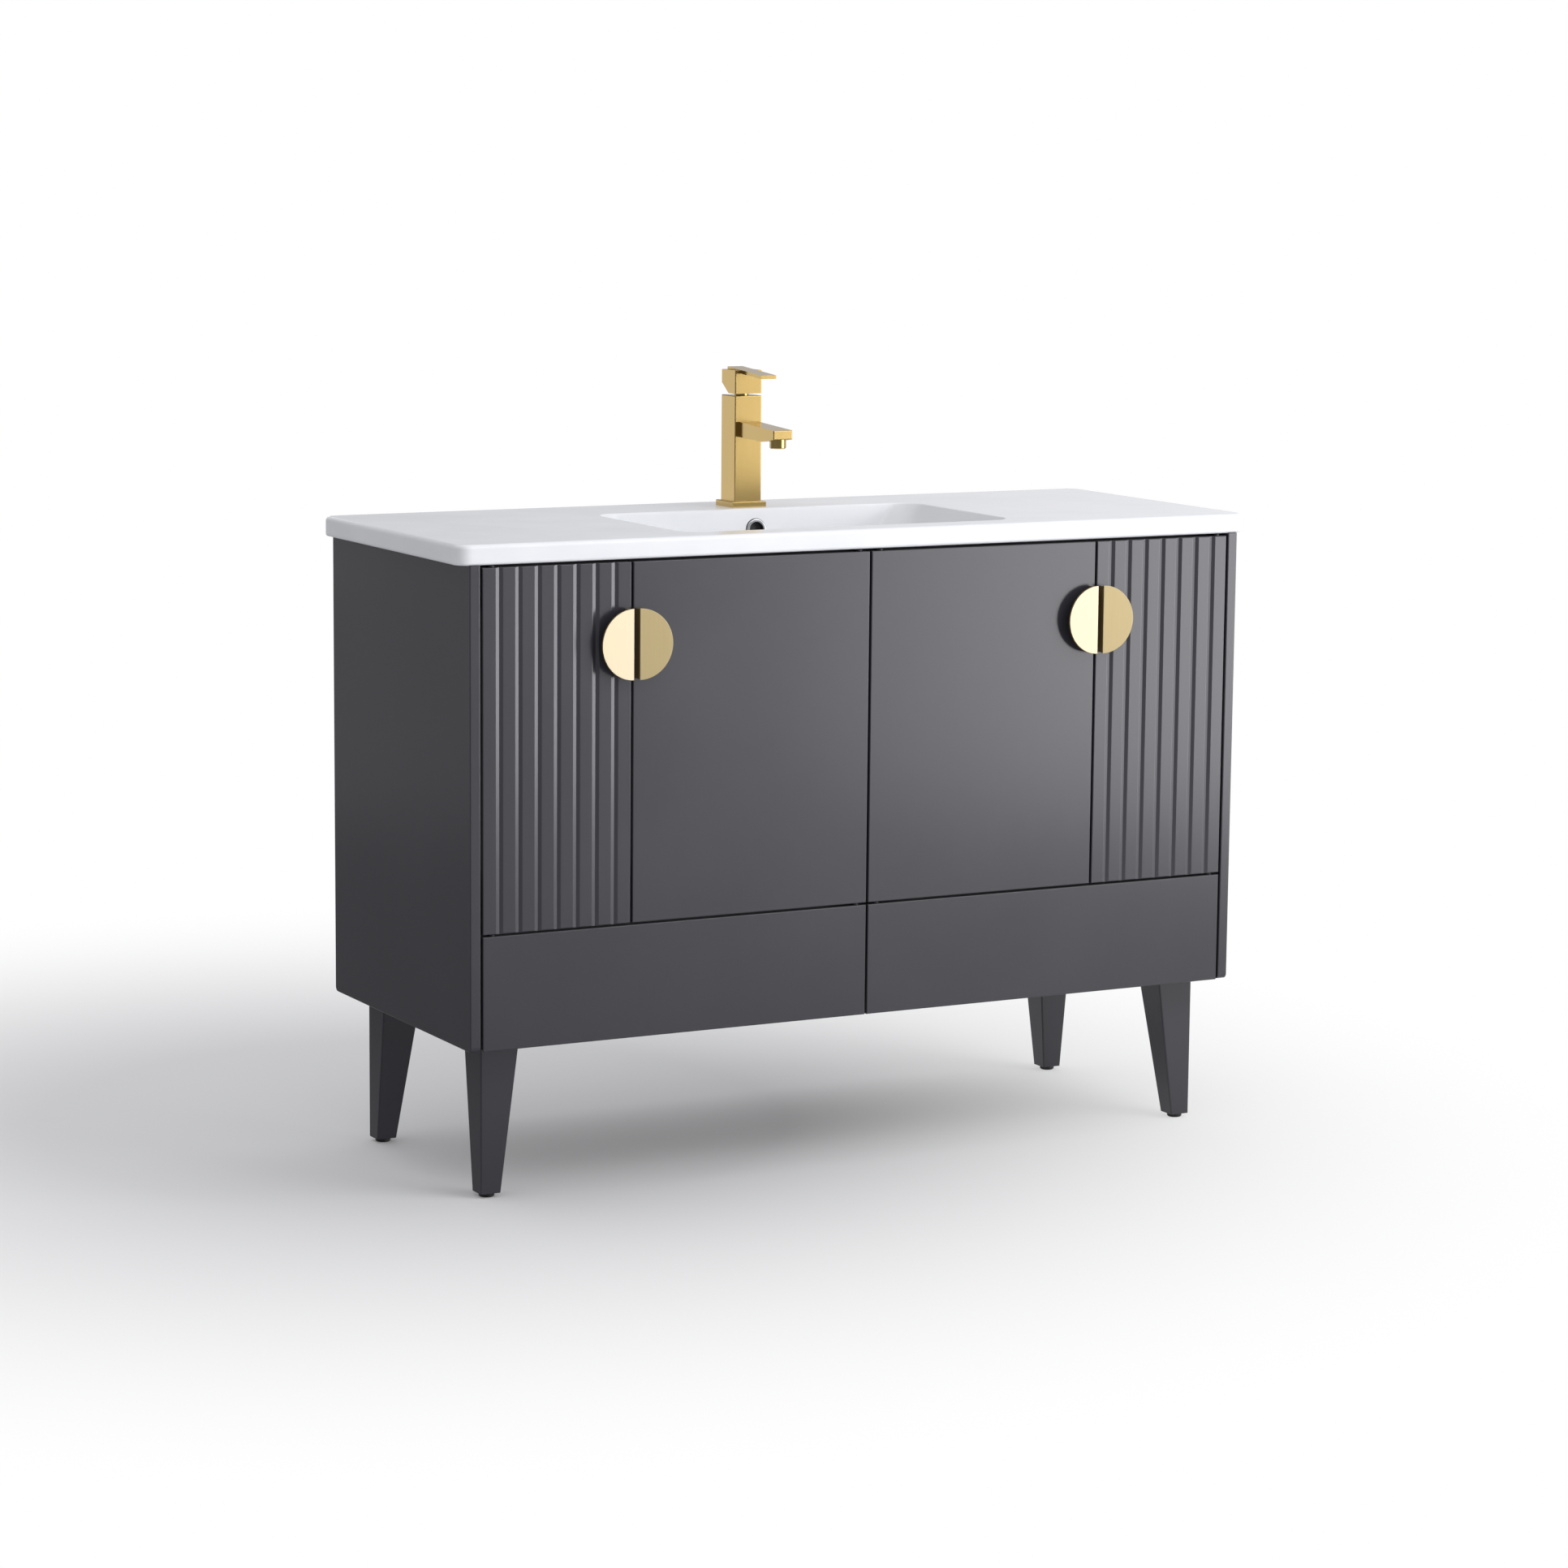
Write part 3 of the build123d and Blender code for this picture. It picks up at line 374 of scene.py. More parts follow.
# Boards: the painted fronts and sides shine softly, the drawers' foil is pale and dull, the inside dark.
SATIN_PAINT = SatinPaint()
DRAWER_FOIL = FoilBoard(
    "grey_foil_on_board", colour="#8d8c8e", grain="#7c7b7e", roughness=0.55, grain_mm=(40.0, 160.0, 2.2))
MELAMINE = FoilBoard(
    "dark_grey_melamine", colour="#38373b", grain="#313034", roughness=0.68, grain_mm=(160.0, 40.0, 2.2))
GLAZE = GlazedCeramic()
# Gold plate: the lacquered pulls look pale and soft, and the faucet's bare plate mirrors what is round it.
PULL_GOLD = BrushedMetal(
    "lacquered_satin_gold_plate", colour="#bba97d", shade="#b6a478", roughness=(0.52, 0.58),
    grain_mm=(0.5, 0.5, 60.0), grain_strength=0.02, lacquer=1.0)
FAUCET_GOLD = BrushedMetal(
    "brushed_gold_plate", colour="#b59b62", shade="#b0965d", roughness=(0.17, 0.2),
    grain_mm=(0.5, 0.5, 40.0), grain_strength=0.001)
# Fittings: the pivots are nearly black, the brass shows its turning, the chrome is a plain mirror.
BLACK_ZINC = BrushedMetal(
    "black_zinc_plate", colour="#3d3e41", shade="#333437", roughness=(0.35, 0.45), grain_mm=(0.5, 30.0, 0.5))
TURNED_BRASS = BrushedMetal(
    "turned_brass", colour="#c9ab67", shade="#b3954f", roughness=(0.25, 0.35), grain_mm=(30.0, 30.0, 0.6))
CHROME = BrushedMetal(
    "polished_chrome_plate", colour="#dfe1e3", shade="#d6d8db", roughness=(0.04, 0.09),
    grain_mm=(25.0, 25.0, 25.0), grain_strength=0.02)
ZINC_STEEL = ZincSteel()
# Polymers: the nylon keeps a dull shine, and the rubber has none.
BLACK_PLASTIC = GrainedPolymer("black_moulded_nylon", colour="#17171a", shade="#101012", roughness=0.5)
BLACK_RUBBER = GrainedPolymer("black_rubber", colour="#1b1b1c", shade="#141415", roughness=0.8)


class Wardrobe:
    """The finishes that are in use, each made once, and the nodes that have been dressed."""

    def __init__(self) -> None:
        """Start with no finish made and no node dressed."""
        self.made: dict[str, bpy.types.Material] = {}
        self.dressed: set[str] = set()

    def material(self, finish: Finish) -> bpy.types.Material:
        """Give a finish's material, made on first use.

        Args:
            finish: The finish.

        Returns:
            Its Blender material.
        """
        if finish.name not in self.made:
            self.made[finish.name] = finish.material()
        return self.made[finish.name]

    def dress(self, finish: Finish, *names: str) -> None:
        """Put a finish on CAD nodes.

        Args:
            finish: The finish.
            names: Nodes that get it.
        """
        for name in names:
            mesh = NODES[name].data
            mesh.materials.clear()
            mesh.materials.append(self.material(finish))
            self.dressed.add(name)
            LOG.info("dressed %s in %s", name, finish.name)


WARDROBE = Wardrobe()


# Surfaces


def grid_faces(rows: int, columns: int, closed: bool) -> np.ndarray:
    """Quads of a grid of points.

    Args:
        rows: Points along the first parameter.
        columns: Points along the second parameter.
        closed: Whether the last column joins the first.

    Returns:
        One row of four point numbers for each quad.
    """
    last = columns if closed else columns - 1
    row, column = np.meshgrid(np.arange(rows - 1), np.arange(last), indexing="ij")
    here, below = row * columns, (row + 1) * columns
    after = (column + 1) % columns
    return np.stack((here + column, here + after, below + after, below + column), axis=-1).reshape(-1, 4)


def polar(values: np.ndarray, columns: int) -> tuple[np.ndarray, np.ndarray]:
    """Row value and angle of each point of a grid that goes round Z.

    Args:
        values: Value of each row, such as its radius.
        columns: Points round the circle.

    Returns:
        The values and the angles, each with one row per value.
    """
    return np.meshgrid(values, np.linspace(0.0, 2 * np.pi, columns, endpoint=False), indexing="ij")


def make_piece(
    name: str, grids: np.ndarray, closed: bool, body: str, finish: Finish,
) -> bpy.types.Object:
    """Make one piece out of equal grid surfaces.

    Args:
        name: Name of the piece.
        grids: Points as an array of surfaces, rows, columns and the three coordinates, in metres.
        closed: Whether each grid's last column joins its first.
        body: Body that carries the piece.
        finish: Finish of the piece.

    Returns:
        The piece, riding on its body.
    """
    count, rows, columns, _ = grids.shape
    faces = grid_faces(rows, columns, closed)
    faces = (faces[None] + (np.arange(count) * rows * columns)[:, None, None]).reshape(-1, 4)
    mesh = bpy.data.meshes.new(name)
    mesh.from_pydata(grids.reshape(-1, 3).tolist(), [], faces.tolist())
    work = bmesh.new()
    work.from_mesh(mesh)
    bmesh.ops.remove_doubles(work, verts=work.verts, dist=MERGE_DISTANCE)
    bmesh.ops.recalc_face_normals(work, faces=work.faces)
    work.to_mesh(mesh)
    work.free()
    mesh.polygons.foreach_set("use_smooth", np.ones(len(mesh.polygons), dtype=bool))
    mesh.materials.append(WARDROBE.material(finish))
    piece = bpy.data.objects.new(name, mesh)
    bpy.context.scene.collection.objects.link(piece)
    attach(piece, body)
    LOG.info("made %s: %d surfaces, %d faces", name, count, len(mesh.polygons))
    return piece


def turned(local: np.ndarray, places: ArrayLike, axis: Point) -> np.ndarray:
    """Set copies of a surface at places, with its height turned to an axis.

    Args:
        local: Grid points of one surface, with its height along Z.
        places: Foot of each copy.
        axis: Direction of the height, at right angles to X.

    Returns:
        Grid points of all the copies.
    """
    up = np.array(axis) / np.linalg.norm(axis)
    side = np.array((1.0, 0.0, 0.0))
    axes = np.stack((side, np.cross(up, side), up))
    return (local @ axes)[None] + np.asarray(places, dtype=float)[:, None, None, :]


@dataclass
class ScrewHead:
    """A countersunk screw head with a cross recess."""

    radius: float = 3.4 * MM
    proud: float = 0.35 * MM
    recess: float = 1.6 * MM
    arm: float = 0.55 * MM
    reach: float = 2.1 * MM
    dome_power: int = 6
    side_blend: float = 0.08 * MM
    end_blend: float = 0.12 * MM
    rings: int = 15
    spokes: int = 32

    def surface(self) -> np.ndarray:
        """Work out the head: height over a polar grid is a flat dome, less a cross of two smooth slots.

        Returns:
            Grid points, from the middle outwards and down to the board.
        """
        share, angle = polar(np.linspace(0.0, 1.0, self.rings), self.spokes)
        x, y = self.radius * share * np.cos(angle), self.radius * share * np.sin(angle)
        dome = self.proud * (1.0 - share ** self.dome_power)
        across = np.minimum(np.abs(x), np.abs(y))
        slot = 1.0 / (1.0 + np.exp((across - self.arm) / self.side_blend))
        length = 1.0 / (1.0 + np.exp((np.hypot(x, y) - self.reach) / self.end_blend))
        inside = share < 1.0
        return np.stack((x, y, dome - self.recess * slot * length * inside), axis=-1)


@dataclass
class Cup:
    """A round cup let into a hole."""

    radius: float
    depth: float
    corner_share: float = 0.2
    corner_rings: int = 7
    spokes: int = 40

    def surface(self) -> np.ndarray:
        """Work out the cup: a straight wall, a quarter-round corner and a flat floor, turned round Z.

        Returns:
            Grid points from the mouth down to the middle of the floor.
        """
        bend = np.linspace(0.0, np.pi / 2, self.corner_rings)
        corner = self.corner_share * self.radius
        radii = np.concatenate(([self.radius], self.radius - corner * (1.0 - np.cos(bend)), [0.0]))
        heights = np.concatenate(([0.0], corner - self.depth - corner * np.sin(bend), [-self.depth]))
        radius, angle = polar(radii, self.spokes)
        height = np.repeat(heights[:, None], self.spokes, axis=1)
        return np.stack((radius * np.cos(angle), radius * np.sin(angle), height), axis=-1)


@dataclass
class Lip:
    """A round rubber lip."""

    radius: float
    tube: float
    tube_points: int = 13
    spokes: int = 48

    def surface(self) -> np.ndarray:
        """Work out the lip: a small circle carried round Z along a larger one.

        Returns:
            Grid points round the small circle, and round Z.
        """
        bend, angle = polar(np.linspace(0.0, 2 * np.pi, self.tube_points), self.spokes)
        radius = self.radius + self.tube * np.cos(bend)
        return np.stack((radius * np.cos(angle), radius * np.sin(angle), self.tube * np.sin(bend)), axis=-1)


@dataclass
class Screen:
    """The round plastic grid that mixes air into a faucet's stream."""

    radius: float
    cell: float
    depth: float
    bar_level: float = 0.6
    rim_share: float = 0.93
    rings: int = 48
    spokes: int = 160

    def surface(self) -> np.ndarray:
        """Work out the grid: height over a polar grid is level on crossed bars and sunk between them.

        A bar lies where the cosine of the place in its cell is above a level.

        Returns:
            Grid points from the middle outwards.
        """
        radius, angle = polar(np.linspace(0.0, self.radius, self.rings), self.spokes)
        x, y = radius * np.cos(angle), radius * np.sin(angle)
        bars = np.maximum(np.cos(2 * np.pi * x / self.cell), np.cos(2 * np.pi * y / self.cell))
        rim = radius > self.rim_share * self.radius
        return np.stack((x, y, np.where((bars > self.bar_level) | rim, 0.0, -self.depth)), axis=-1)


@dataclass
class Thread:
    """A screw thread wound on an upright bar."""

    radius: float
    pitch: float
    depth: float
    fade_turns: float = 0.5
    foot_share: float = 0.48
    turn_points: int = 40
    ridge_points: int = 5

    def surface(self, x: float, y: float, low: float, high: float) -> np.ndarray:
        """Work out the thread: a pointed ridge carried along a helix, with its depth fading at both ends.

        Args:
            x: Place of the bar's axis.
            y: Place of the bar's axis.
            low: Height of the lower end.
            high: Height of the upper end.

        Returns:
            Grid points along the helix and across the ridge.
        """
        turns = (high - low) / self.pitch
        along = np.linspace(0.0, 1.0, int(turns * self.turn_points) + 1)[:, None]
        angle = 2 * np.pi * turns * along
        across = np.linspace(-1.0, 1.0, self.ridge_points)[None]
        fade = np.clip(np.minimum(along, 1.0 - along) * turns / self.fade_turns, 0.0, 1.0)
        radius = self.radius + self.depth * fade * (1.0 - np.abs(across))
        height = np.clip(low + (high - low) * along + across * self.foot_share * self.pitch, low, high)
        return np.stack((x + radius * np.cos(angle), y + radius * np.sin(angle), height), axis=-1)[None]


# Sub-assemblies


@dataclass
class Carcass:
    """The painted boards, their steel fittings and the screws that hold the back on."""

    screw_pitch: float = 180.0 * MM
    screw_edge: float = 9.0 * MM

    def dress(self) -> None:
        """Paint the boards and plate the fittings."""
        WARDROBE.dress(SATIN_PAINT, "left_side_panel", "right_side_panel")
        WARDROBE.dress(MELAMINE, "bottom_panel", "middle_shelf", "drawer_partition", "back_panel")
        WARDROBE.dress(MELAMINE, "centre_stile", "front_rail", "back_rail")
        WARDROBE.dress(BLACK_ZINC, "pivot_plates")
        WARDROBE.dress(ZINC_STEEL, "cabinet_slides")
        WARDROBE.dress(BLACK_PLASTIC, "magnetic_catches")

    def back_screws(self) -> bpy.types.Object:
        """Make the screws along the upper and lower edges of the back panel.

        Returns:
            The screws, as one piece.
        """
        low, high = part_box("back_panel")
        count = int((high.x - low.x - 2 * self.screw_edge) / self.screw_pitch) + 1
        across = np.linspace(low.x + self.screw_edge, high.x - self.screw_edge, count)
        rows = [np.column_stack((across, np.full(count, high.y), np.full(count, z)))
                for z in (low.z + self.screw_edge, high.z - self.screw_edge)]
        grids = turned(ScrewHead().surface(), np.concatenate(rows), Facing.BACK.value)
        return make_piece("back_panel_screws", grids, True, "cabinet", ZINC_STEEL)


@dataclass
class Legs:
    """The painted legs, their steel plates and the black feet."""

    screw_out: float = 3.0 * MM
    screw: ScrewHead = field(default_factory=lambda: ScrewHead(
        radius=2.6 * MM, proud=0.3 * MM, recess=1.2 * MM, arm=0.4 * MM, reach=1.6 * MM))

    def names(self, kind: str) -> list[str]:
        """Name one kind of node at the four corners."""
        return [f"{end}_{side.value}_{kind}" for end in ("front", "back") for side in Side]

    def dress(self) -> None:
        """Paint the legs, give the feet their plastic and plate the steel."""
        WARDROBE.dress(SATIN_PAINT, *self.names("leg"))
        WARDROBE.dress(BLACK_PLASTIC, *self.names("foot"))
        WARDROBE.dress(ZINC_STEEL, "leg_plates", "foot_sockets")

    def plate_screws(self) -> bpy.types.Object:
        """Make the screws at the corners of the leg plates, seen from below.

        Returns:
            The screws, as one piece.
        """
        places = []
        for name in self.names("leg"):
            low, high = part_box(name)
            places += [(x, y, high.z) for x in (low.x - self.screw_out, high.x + self.screw_out)
                       for y in (low.y - self.screw_out, high.y + self.screw_out)]
        grids = turned(self.screw.surface(), places, Facing.DOWN.value)
        return make_piece("leg_plate_screws", grids, True, "cabinet", ZINC_STEEL)


class Doors:
    """The painted doors with their pulls, bushes and strikes."""

    def dress(self) -> None:
        """Paint the doors and finish the metal on them."""
        names = [f"{side.value}_{kind}" for side in Side for kind in ("fluted", "flat")]
        WARDROBE.dress(SATIN_PAINT, *(f"{name}_door" for name in names))
        WARDROBE.dress(PULL_GOLD, *(f"{name}_pull" for name in names))
        WARDROBE.dress(ZINC_STEEL, *(f"{name}_fittings" for name in names))


class Drawers:
    """The drawers: painted fronts, foil boxes and plated slides."""

    def dress(self) -> None:
        """Finish each drawer's boards and slide members."""
        for name in (side.value for side in Side):
            WARDROBE.dress(SATIN_PAINT, f"{name}_drawer_front")
            WARDROBE.dress(DRAWER_FOIL, f"{name}_drawer_box", f"{name}_drawer_bottom")
            WARDROBE.dress(ZINC_STEEL, f"{name}_drawer_slides", f"{name}_middle_slides")


@dataclass
class Basin:
    """The ceramic top with its overflow ring and drain."""

    thread_pitch: float = 2.3 * MM
    thread_depth: float = 0.6 * MM
    # The black cup in the overflow ring is painted shade: it is set where the channel behind the ring is
    # dark.
    shade_cup: Cup = field(default_factory=lambda: Cup(radius=10.9 * MM, depth=6.8 * MM))
    shade_cup_lift: float = 0.3 * MM
    # The black lip is partly a real seal and partly painted shadow: it draws the dark line round the
    # overflow ring.
    shadow_lip: Lip = field(default_factory=lambda: Lip(radius=15.2 * MM, tube=0.8 * MM))
    # The bowl's back wall leans back by 15 mm over 110 mm of height.
    wall_facing: Point = (0.0, -110.0, 15.0)

    def dress(self) -> None:
        """Glaze the top and plate the drain."""
        WARDROBE.dress(GLAZE, "basin_top")
        WARDROBE.dress(CHROME, "overflow_ring", "drain_flange", "drain_stopper")
        WARDROBE.dress(CHROME, "drain_nut", "drain_tailpiece")
        WARDROBE.dress(BLACK_RUBBER, "drain_gasket")

    def overflow_place(self, lift: float) -> np.ndarray:
        """Find a place on the overflow ring's axis, square to the bowl's back wall.

        Args:
            lift: How far the place is off the wall.

        Returns:
            The place.
        """
        low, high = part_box("overflow_ring")
        axis = np.array(self.wall_facing) / np.linalg.norm(self.wall_facing)
        across = (high.x - low.x) * abs(axis[2])
        half_thick = ((high.y - low.y) - across) / abs(axis[1]) / 2
        return np.array(low + high) / 2 - axis * (half_thick - lift)

    def overflow_shade_cup(self) -> bpy.types.Object:
        """Make the black cup inside the overflow ring: painted shade that stands for the dark channel behind
        it.
        """
        grids = turned(self.shade_cup.surface(), [self.overflow_place(self.shade_cup_lift)], self.wall_facing)
        # The cup's black plastic stands for the shade of the channel behind the overflow ring.
        return make_piece("overflow_shade_cup", grids, True, "cabinet", BLACK_PLASTIC)

    def overflow_shadow_lip(self) -> bpy.types.Object:
        """Make the black rubber lip round the overflow ring: a seal whose dark line is also painted shadow
        between the ring and the wall.
        """
        grids = turned(self.shadow_lip.surface(), [self.overflow_place(0.0)], self.wall_facing)
        # The lip's black line is painted shadow round the overflow ring.
        return make_piece("overflow_shadow_lip", grids, True, "cabinet", BLACK_RUBBER)

    def drain_thread(self) -> bpy.types.Object:
        """Make the thread on the drain's body below its nut.

        Returns:
            The thread.
        """
        nut_low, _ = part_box("drain_nut")
        tail_low, tail_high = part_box("drain_tailpiece")
        x, y = (tail_low.x + tail_high.x) / 2, (tail_low.y + tail_high.y) / 2
        radius = (tail_high.x - tail_low.x) / 2
        thread = Thread(radius, self.thread_pitch, self.thread_depth)
        grids = thread.surface(x, y, tail_high.z, nut_low.z)
        return make_piece("drain_thread", grids, False, "cabinet", CHROME)


@dataclass
class Faucet:
    """The gold faucet, and the brass parts below the deck."""

    thread_pitch: float = 1.5 * MM
    thread_depth: float = 0.5 * MM
    screen: Screen = field(default_factory=lambda: Screen(radius=7.8 * MM, cell=1.5 * MM, depth=0.8 * MM))
    screen_up: float = 1.6 * MM

    def dress(self) -> None:
        """Plate the faucet, and leave the shank and nut in plain brass."""
        WARDROBE.dress(FAUCET_GOLD, "faucet_base", "faucet_body", "faucet_aerator")
        WARDROBE.dress(FAUCET_GOLD, "faucet_stem", "faucet_handle")
        WARDROBE.dress(TURNED_BRASS, "faucet_shank", "faucet_nut")

    def aerator_screen(self) -> bpy.types.Object:
        """Make the grid inside the aerator, seen from below.

        Returns:
            The grid.
        """
        low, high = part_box("faucet_aerator")
        place = ((low.x + high.x) / 2, (low.y + high.y) / 2, low.z + self.screen_up)
        grids = turned(self.screen.surface(), [place], Facing.DOWN.value)
        return make_piece("aerator_screen", grids, True, "cabinet", BLACK_PLASTIC)

    def shank_thread(self) -> bpy.types.Object:
        """Make the thread on the shank below its nut.

        Returns:
            The thread.
        """
        nut_low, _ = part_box("faucet_nut")
        low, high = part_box("faucet_shank")
        thread = Thread((high.x - low.x) / 2, self.thread_pitch, self.thread_depth)
        grids = thread.surface((low.x + high.x) / 2, (low.y + high.y) / 2, low.z, nut_low.z)
        return make_piece("shank_thread", grids, False, "cabinet", TURNED_BRASS)


# Studio


@dataclass
class PhotoCamera:
    """The camera of the photograph, fitted to the cabinet's corners."""

    place: Point = (-2.8936, -5.3980, 1.4292)
    yaw: float = math.radians(28.103)
    pitch: float = math.radians(8.645)
    roll: float = math.radians(-0.52)
    focal_share: float = 2.8038
    sensor_mm: float = 36.0
    clip_end: float = 100.0

    def set_up(self) -> None:
        """Set the camera where lines of the photograph meet the model's edges."""
        ahead, drop = math.cos(self.pitch), math.sin(self.pitch)
        forward = np.array((math.sin(self.yaw) * ahead, math.cos(self.yaw) * ahead, -drop))
        level = np.array((math.cos(self.yaw), -math.sin(self.yaw), 0.0))
        down = np.cross(forward, level)
        right = math.cos(self.roll) * level + math.sin(self.roll) * down
        up = math.sin(self.roll) * level - math.cos(self.roll) * down
        data = bpy.data.cameras.new("camera")
        data.sensor_width = self.sensor_mm
        data.lens = self.focal_share * self.sensor_mm
        data.clip_end = self.clip_end
        camera = bpy.data.objects.new("camera", data)
        pose = np.eye(4)
        pose[:3, :3] = np.stack((right, up, -forward), axis=1)
        pose[:3, 3] = self.place
        camera.matrix_world = Matrix(pose.tolist())
        bpy.context.scene.collection.objects.link(camera)
        bpy.context.scene.camera = camera


@dataclass
class Lamp:
    """A soft rectangular lamp that looks at the middle of the cabinet and stays out of the picture."""

    name: str
    place: Point
    size: Span
    watts: float
    aim: Point = (0.0, 0.0, 0.6)

    def hang(self) -> None:
        """Hang the lamp at its place, level and turned to its aim."""
        data = bpy.data.lights.new(self.name, "AREA")
        data.shape = "RECTANGLE"
        data.size, data.size_y = self.size
        data.energy = self.watts
        lamp = bpy.data.objects.new(self.name, data)
        lamp.visible_camera = False
        back = np.array(self.place) - np.array(self.aim)
        back = back / np.linalg.norm(back)
        side = np.cross((0.0, 0.0, 1.0), back)
        side = side / np.linalg.norm(side)
        pose = np.eye(4)
        pose[:3, :3] = np.stack((side, np.cross(back, side), back), axis=1)
        pose[:3, 3] = self.place
        lamp.matrix_world = Matrix(pose.tolist())
        bpy.context.scene.collection.objects.link(lamp)


@dataclass
class Sky:
    """The light from all round: a dim sky, brighter overhead, a softbox and a backdrop.

    Each edge holds the middle and the width of a soft step, and a negative width makes it a step down. The
    softbox's edges are angles to the right of straight ahead and above the horizon. The other edges lie
    along one axis of the direction that a ray takes.
    """

    tint: str = "#fcfcff"
    ambient: float = 0.44
    overhead: float = 0.75
    overhead_edge: Span = (0.75, 0.5)
    softbox: float = 5.5
    softbox_left: Span = (math.radians(30.0), 0.05)
    softbox_right: Span = (math.radians(66.0), -0.2)
    softbox_low: Span = (math.radians(-24.0), 0.15)
    softbox_high: Span = (math.radians(16.0), -0.3)
    shiny_ambient: float = 0.3
    backdrop: float = 0.2
    backdrop_edge: Span = (0.45, 0.5)
    behind: float = 0.5
    behind_edge: Span = (0.0, 0.6)

    def set_up(self) -> None:
        """Light the scene from all round.

        The camera sees it all as white. Shiny surfaces see the sky, the softbox and the backdrop, which
        fades to the left and is brighter behind. Dull ones are lit by the sky and the softbox.
        """
        world = bpy.data.worlds.new("studio")
        world.use_nodes = True
        tree = world.node_tree
        tree.nodes.clear()
        heading = add_node(tree, "ShaderNodeTexCoord").outputs["Generated"]
        along = add_node(tree, "ShaderNodeSeparateXYZ", {"Vector": heading}).outputs
        ahead = add_node(tree, "ShaderNodeMath", {0: along["Y"], 1: -1.0}, operation="MULTIPLY")
        turn = add_node(tree, "ShaderNodeMath", {0: along["X"], 1: ahead}, operation="ARCTAN2")
        rise = add_node(tree, "ShaderNodeMath", {0: along["Z"]}, operation="ARCSINE")
        edges = (
            (turn, self.softbox_left), (turn, self.softbox_right),
            (rise, self.softbox_low), (rise, self.softbox_high),
            (along["Z"], self.overhead_edge), (along["Y"], self.behind_edge),
            (along["X"], self.backdrop_edge))
        steps = [
            add_node(tree, "ShaderNodeMapRange", {
                "Value": value, "From Min": middle - width / 2, "From Max": middle + width / 2},
                interpolation_type="SMOOTHSTEP")
            for value, (middle, width) in edges]
        *sides, overhead, behind, beside = steps
        box: bpy.types.Node | float = self.softbox
        for side in sides:
            box = add_node(tree, "ShaderNodeMath", {0: side, 1: box}, operation="MULTIPLY")
        path = add_node(tree, "ShaderNodeLightPath").outputs
        shiny = add_node(tree, "ShaderNodeMath", {
            0: path["Is Glossy Ray"], 1: path["Is Transmission Ray"]}, operation="MAXIMUM")
        backdrop = add_node(tree, "ShaderNodeMath", {
            0: behind, 1: self.behind, 2: self.backdrop}, operation="MULTIPLY_ADD")
        shown = add_node(tree, "ShaderNodeMath", {
            0: backdrop, 1: beside, 2: self.shiny_ambient - self.ambient}, operation="MULTIPLY_ADD")
        light = add_node(tree, "ShaderNodeMath", {0: shown, 1: shiny, 2: box}, operation="MULTIPLY_ADD")
        light = add_node(tree, "ShaderNodeMath", {
            0: overhead, 1: self.overhead, 2: light}, operation="MULTIPLY_ADD")
        light = add_node(tree, "ShaderNodeMath", {0: light, 1: self.ambient}, operation="ADD")
        lit = add_node(tree, "ShaderNodeBackground", {"Color": linear(self.tint), "Strength": light})
        white = add_node(tree, "ShaderNodeBackground", {"Color": WHITE, "Strength": 1.0})
        sky = add_node(tree, "ShaderNodeMixShader", {0: path["Is Camera Ray"], 1: lit, 2: white})
        add_node(tree, "ShaderNodeOutputWorld", {"Surface": sky})
        bpy.context.scene.world = world


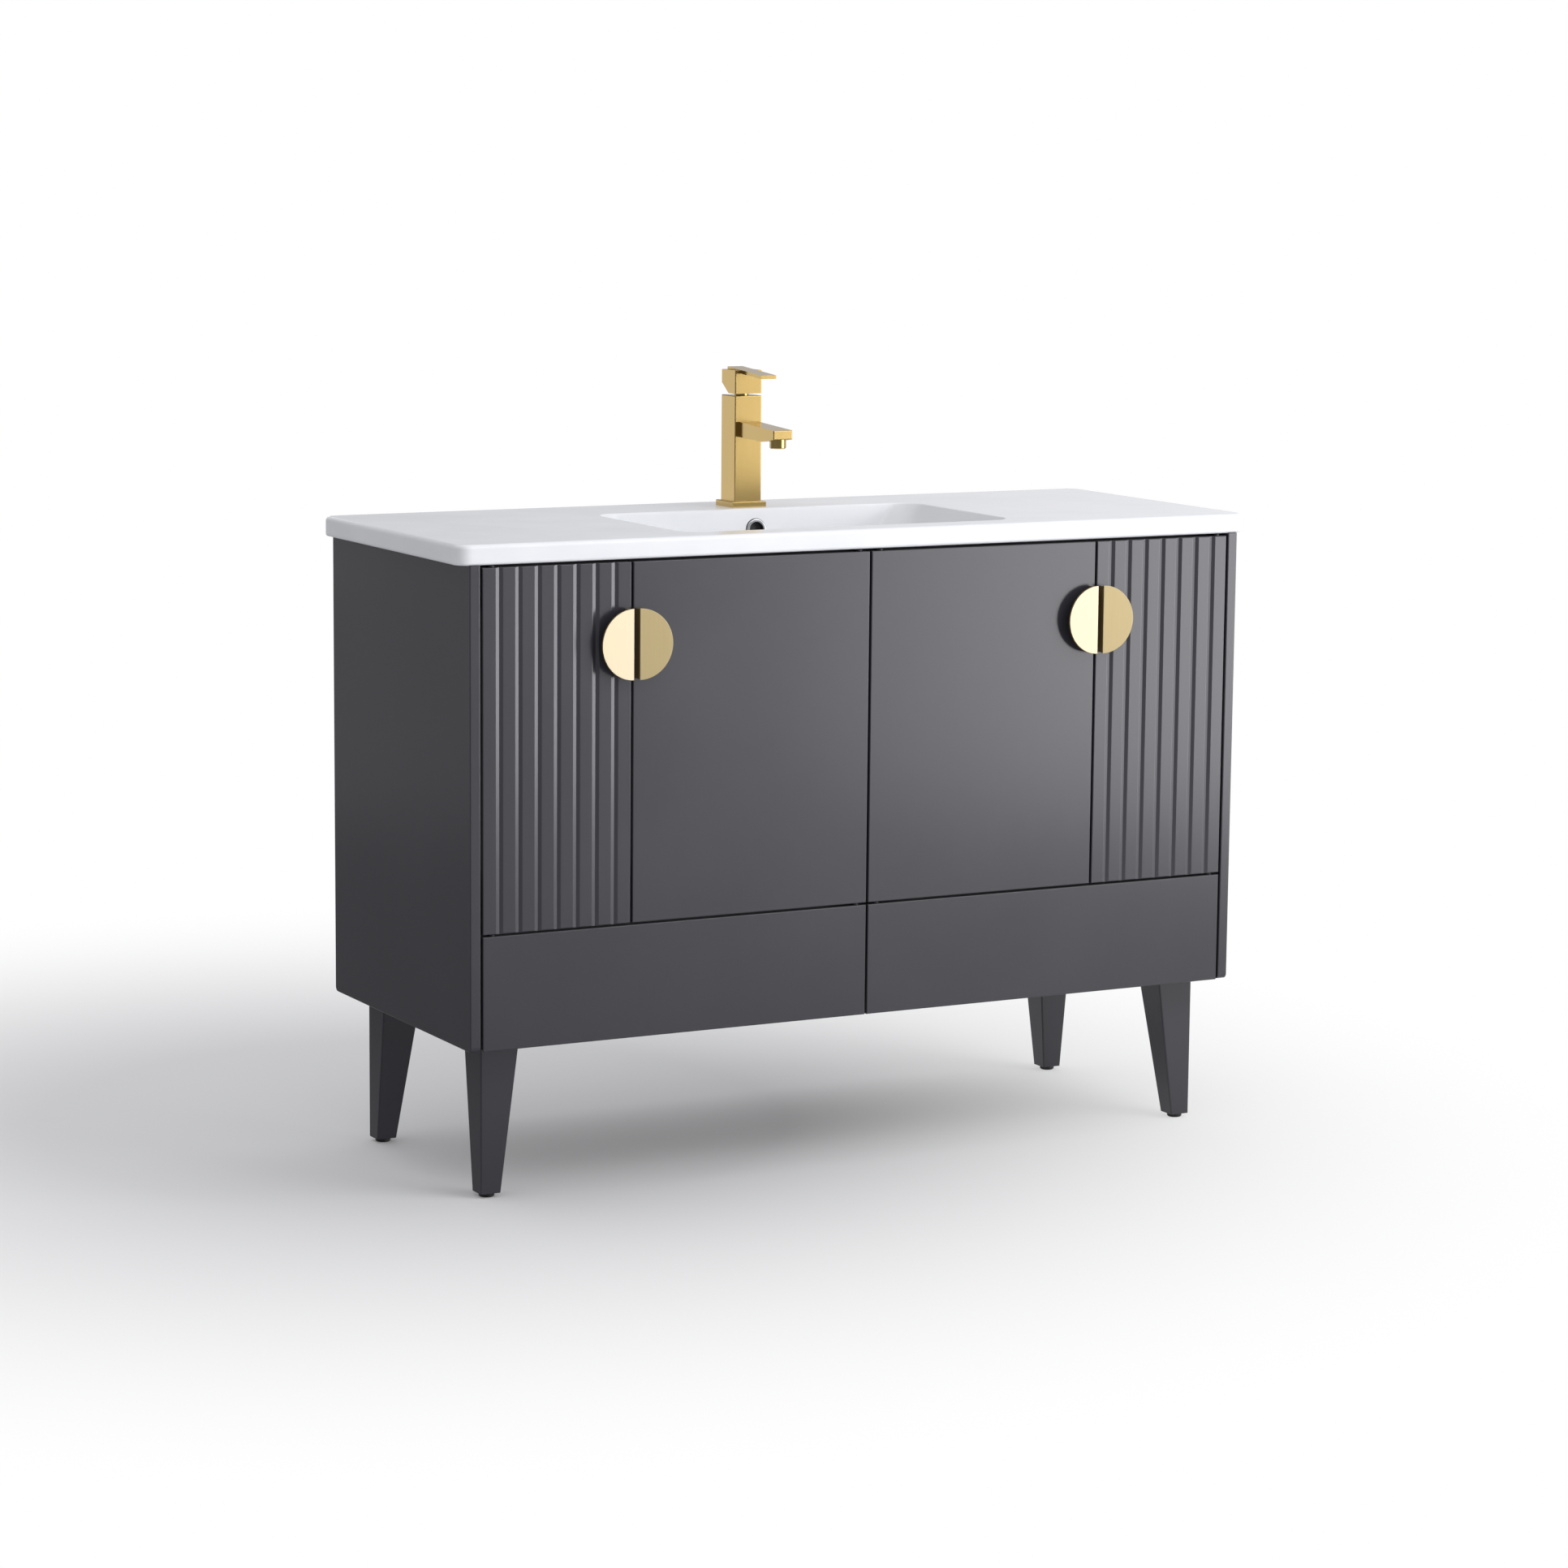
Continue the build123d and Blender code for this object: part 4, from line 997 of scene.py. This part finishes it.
@dataclass
class Floor:
    """The pale floor that takes the shadow and fades into the white background."""

    radius: float = 3.3
    rings: int = 4
    spokes: int = 96
    colour: str = "#dcdcdd"
    fade: Span = (0.2, 1.75)
    fade_middle: Point = (-0.45, 0.3, 0.0)
    least_share: float = 0.12
    flag: float = 0.7
    flag_edge: Span = (-1.0, 1.0)

    def material(self) -> bpy.types.Material:
        """Build the floor's surface: matt, with a share of plain white that grows with the distance.

        Only the camera and shiny surfaces see the white share. Shiny surfaces see the left part darkened
        instead, as by a flag that lies there out of the picture.

        Returns:
            The material.
        """
        material, tree, place = start_material("pale_studio_floor")
        sockets = {0: place, 1: self.fade_middle}
        away = add_node(tree, "ShaderNodeVectorMath", sockets, operation="DISTANCE").outputs["Value"]
        across = add_node(tree, "ShaderNodeSeparateXYZ", {"Vector": place}).outputs["X"]
        fade, right = [
            add_node(tree, "ShaderNodeMapRange", {
                "Value": value, "From Min": start, "From Max": end}, interpolation_type="SMOOTHSTEP")
            for value, (start, end) in ((away, self.fade), (across, self.flag_edge))]
        path = add_node(tree, "ShaderNodeLightPath").outputs
        shiny = add_node(tree, "ShaderNodeMath", {
            0: path["Is Glossy Ray"], 1: path["Is Transmission Ray"]}, operation="MAXIMUM")
        left = add_node(tree, "ShaderNodeMath", {0: 1.0, 1: right}, operation="SUBTRACT")
        flagged = add_node(tree, "ShaderNodeMath", {0: shiny, 1: left}, operation="MULTIPLY")
        mirrored = add_node(tree, "ShaderNodeMath", {0: shiny, 1: right}, operation="MULTIPLY")
        seen = add_node(tree, "ShaderNodeMath", {0: path["Is Camera Ray"], 1: mirrored}, operation="MAXIMUM")
        share = add_node(tree, "ShaderNodeMath", {0: fade, 1: self.least_share}, operation="MAXIMUM")
        share = add_node(tree, "ShaderNodeMath", {0: share, 1: seen}, operation="MULTIPLY")
        hidden = add_node(tree, "ShaderNodeMath", {0: flagged, 1: self.flag}, operation="MULTIPLY")
        share = add_node(tree, "ShaderNodeMath", {0: share, 1: hidden}, operation="MAXIMUM")
        strength = add_node(tree, "ShaderNodeMath", {0: 1.0, 1: flagged}, operation="SUBTRACT")
        matt = add_node(tree, "ShaderNodeBsdfDiffuse", {"Color": linear(self.colour)})
        white = add_node(tree, "ShaderNodeEmission", {"Color": WHITE, "Strength": strength})
        mix = add_node(tree, "ShaderNodeMixShader", {0: share, 1: matt, 2: white})
        add_node(tree, "ShaderNodeOutputMaterial", {"Surface": mix})
        return material

    def lay(self) -> None:
        """Lay the floor: a level disc round the origin."""
        radius, angle = polar(np.linspace(0.0, self.radius, self.rings), self.spokes)
        points = np.stack((radius * np.cos(angle), radius * np.sin(angle), 0.0 * radius), axis=-1)
        faces = grid_faces(self.rings, self.spokes, True)
        mesh = bpy.data.meshes.new("floor")
        mesh.from_pydata(points.reshape(-1, 3).tolist(), [], faces.tolist())
        mesh.materials.append(self.material())
        floor = bpy.data.objects.new("floor", mesh)
        bpy.context.scene.collection.objects.link(floor)


# The high lamp lights the cabinet from above the front right. The card is dim and stands behind at the left,
# where the faucet's side reflects it.
LAMPS = (
    Lamp("high", place=(1.6, -2.35, 2.85), size=(2.0, 1.6), watts=33.0),
    Lamp("card", place=(-0.5, 1.05, 0.92), size=(0.5, 0.5), watts=0.75),
)


def main() -> None:
    """Dress the cabinet piece by piece, then set up the studio."""
    carcass = Carcass()
    carcass.dress()
    carcass.back_screws()
    legs = Legs()
    legs.dress()
    legs.plate_screws()
    Doors().dress()
    Drawers().dress()
    basin = Basin()
    basin.dress()
    basin.overflow_shade_cup()
    basin.overflow_shadow_lip()
    basin.drain_thread()
    faucet = Faucet()
    faucet.dress()
    faucet.aerator_screen()
    faucet.shank_thread()
    bare = sorted(set(NODES) - WARDROBE.dressed)
    if bare:
        raise ValueError(f"nodes without a finish: {bare}")
    LOG.info("dressed all %d nodes in %d finishes", len(WARDROBE.dressed), len(WARDROBE.made))
    PhotoCamera().set_up()
    for lamp in LAMPS:
        lamp.hang()
    Sky().set_up()
    Floor().lay()
    bpy.context.scene.view_settings.view_transform = "Standard"


if __name__ == "__main__":
    main()
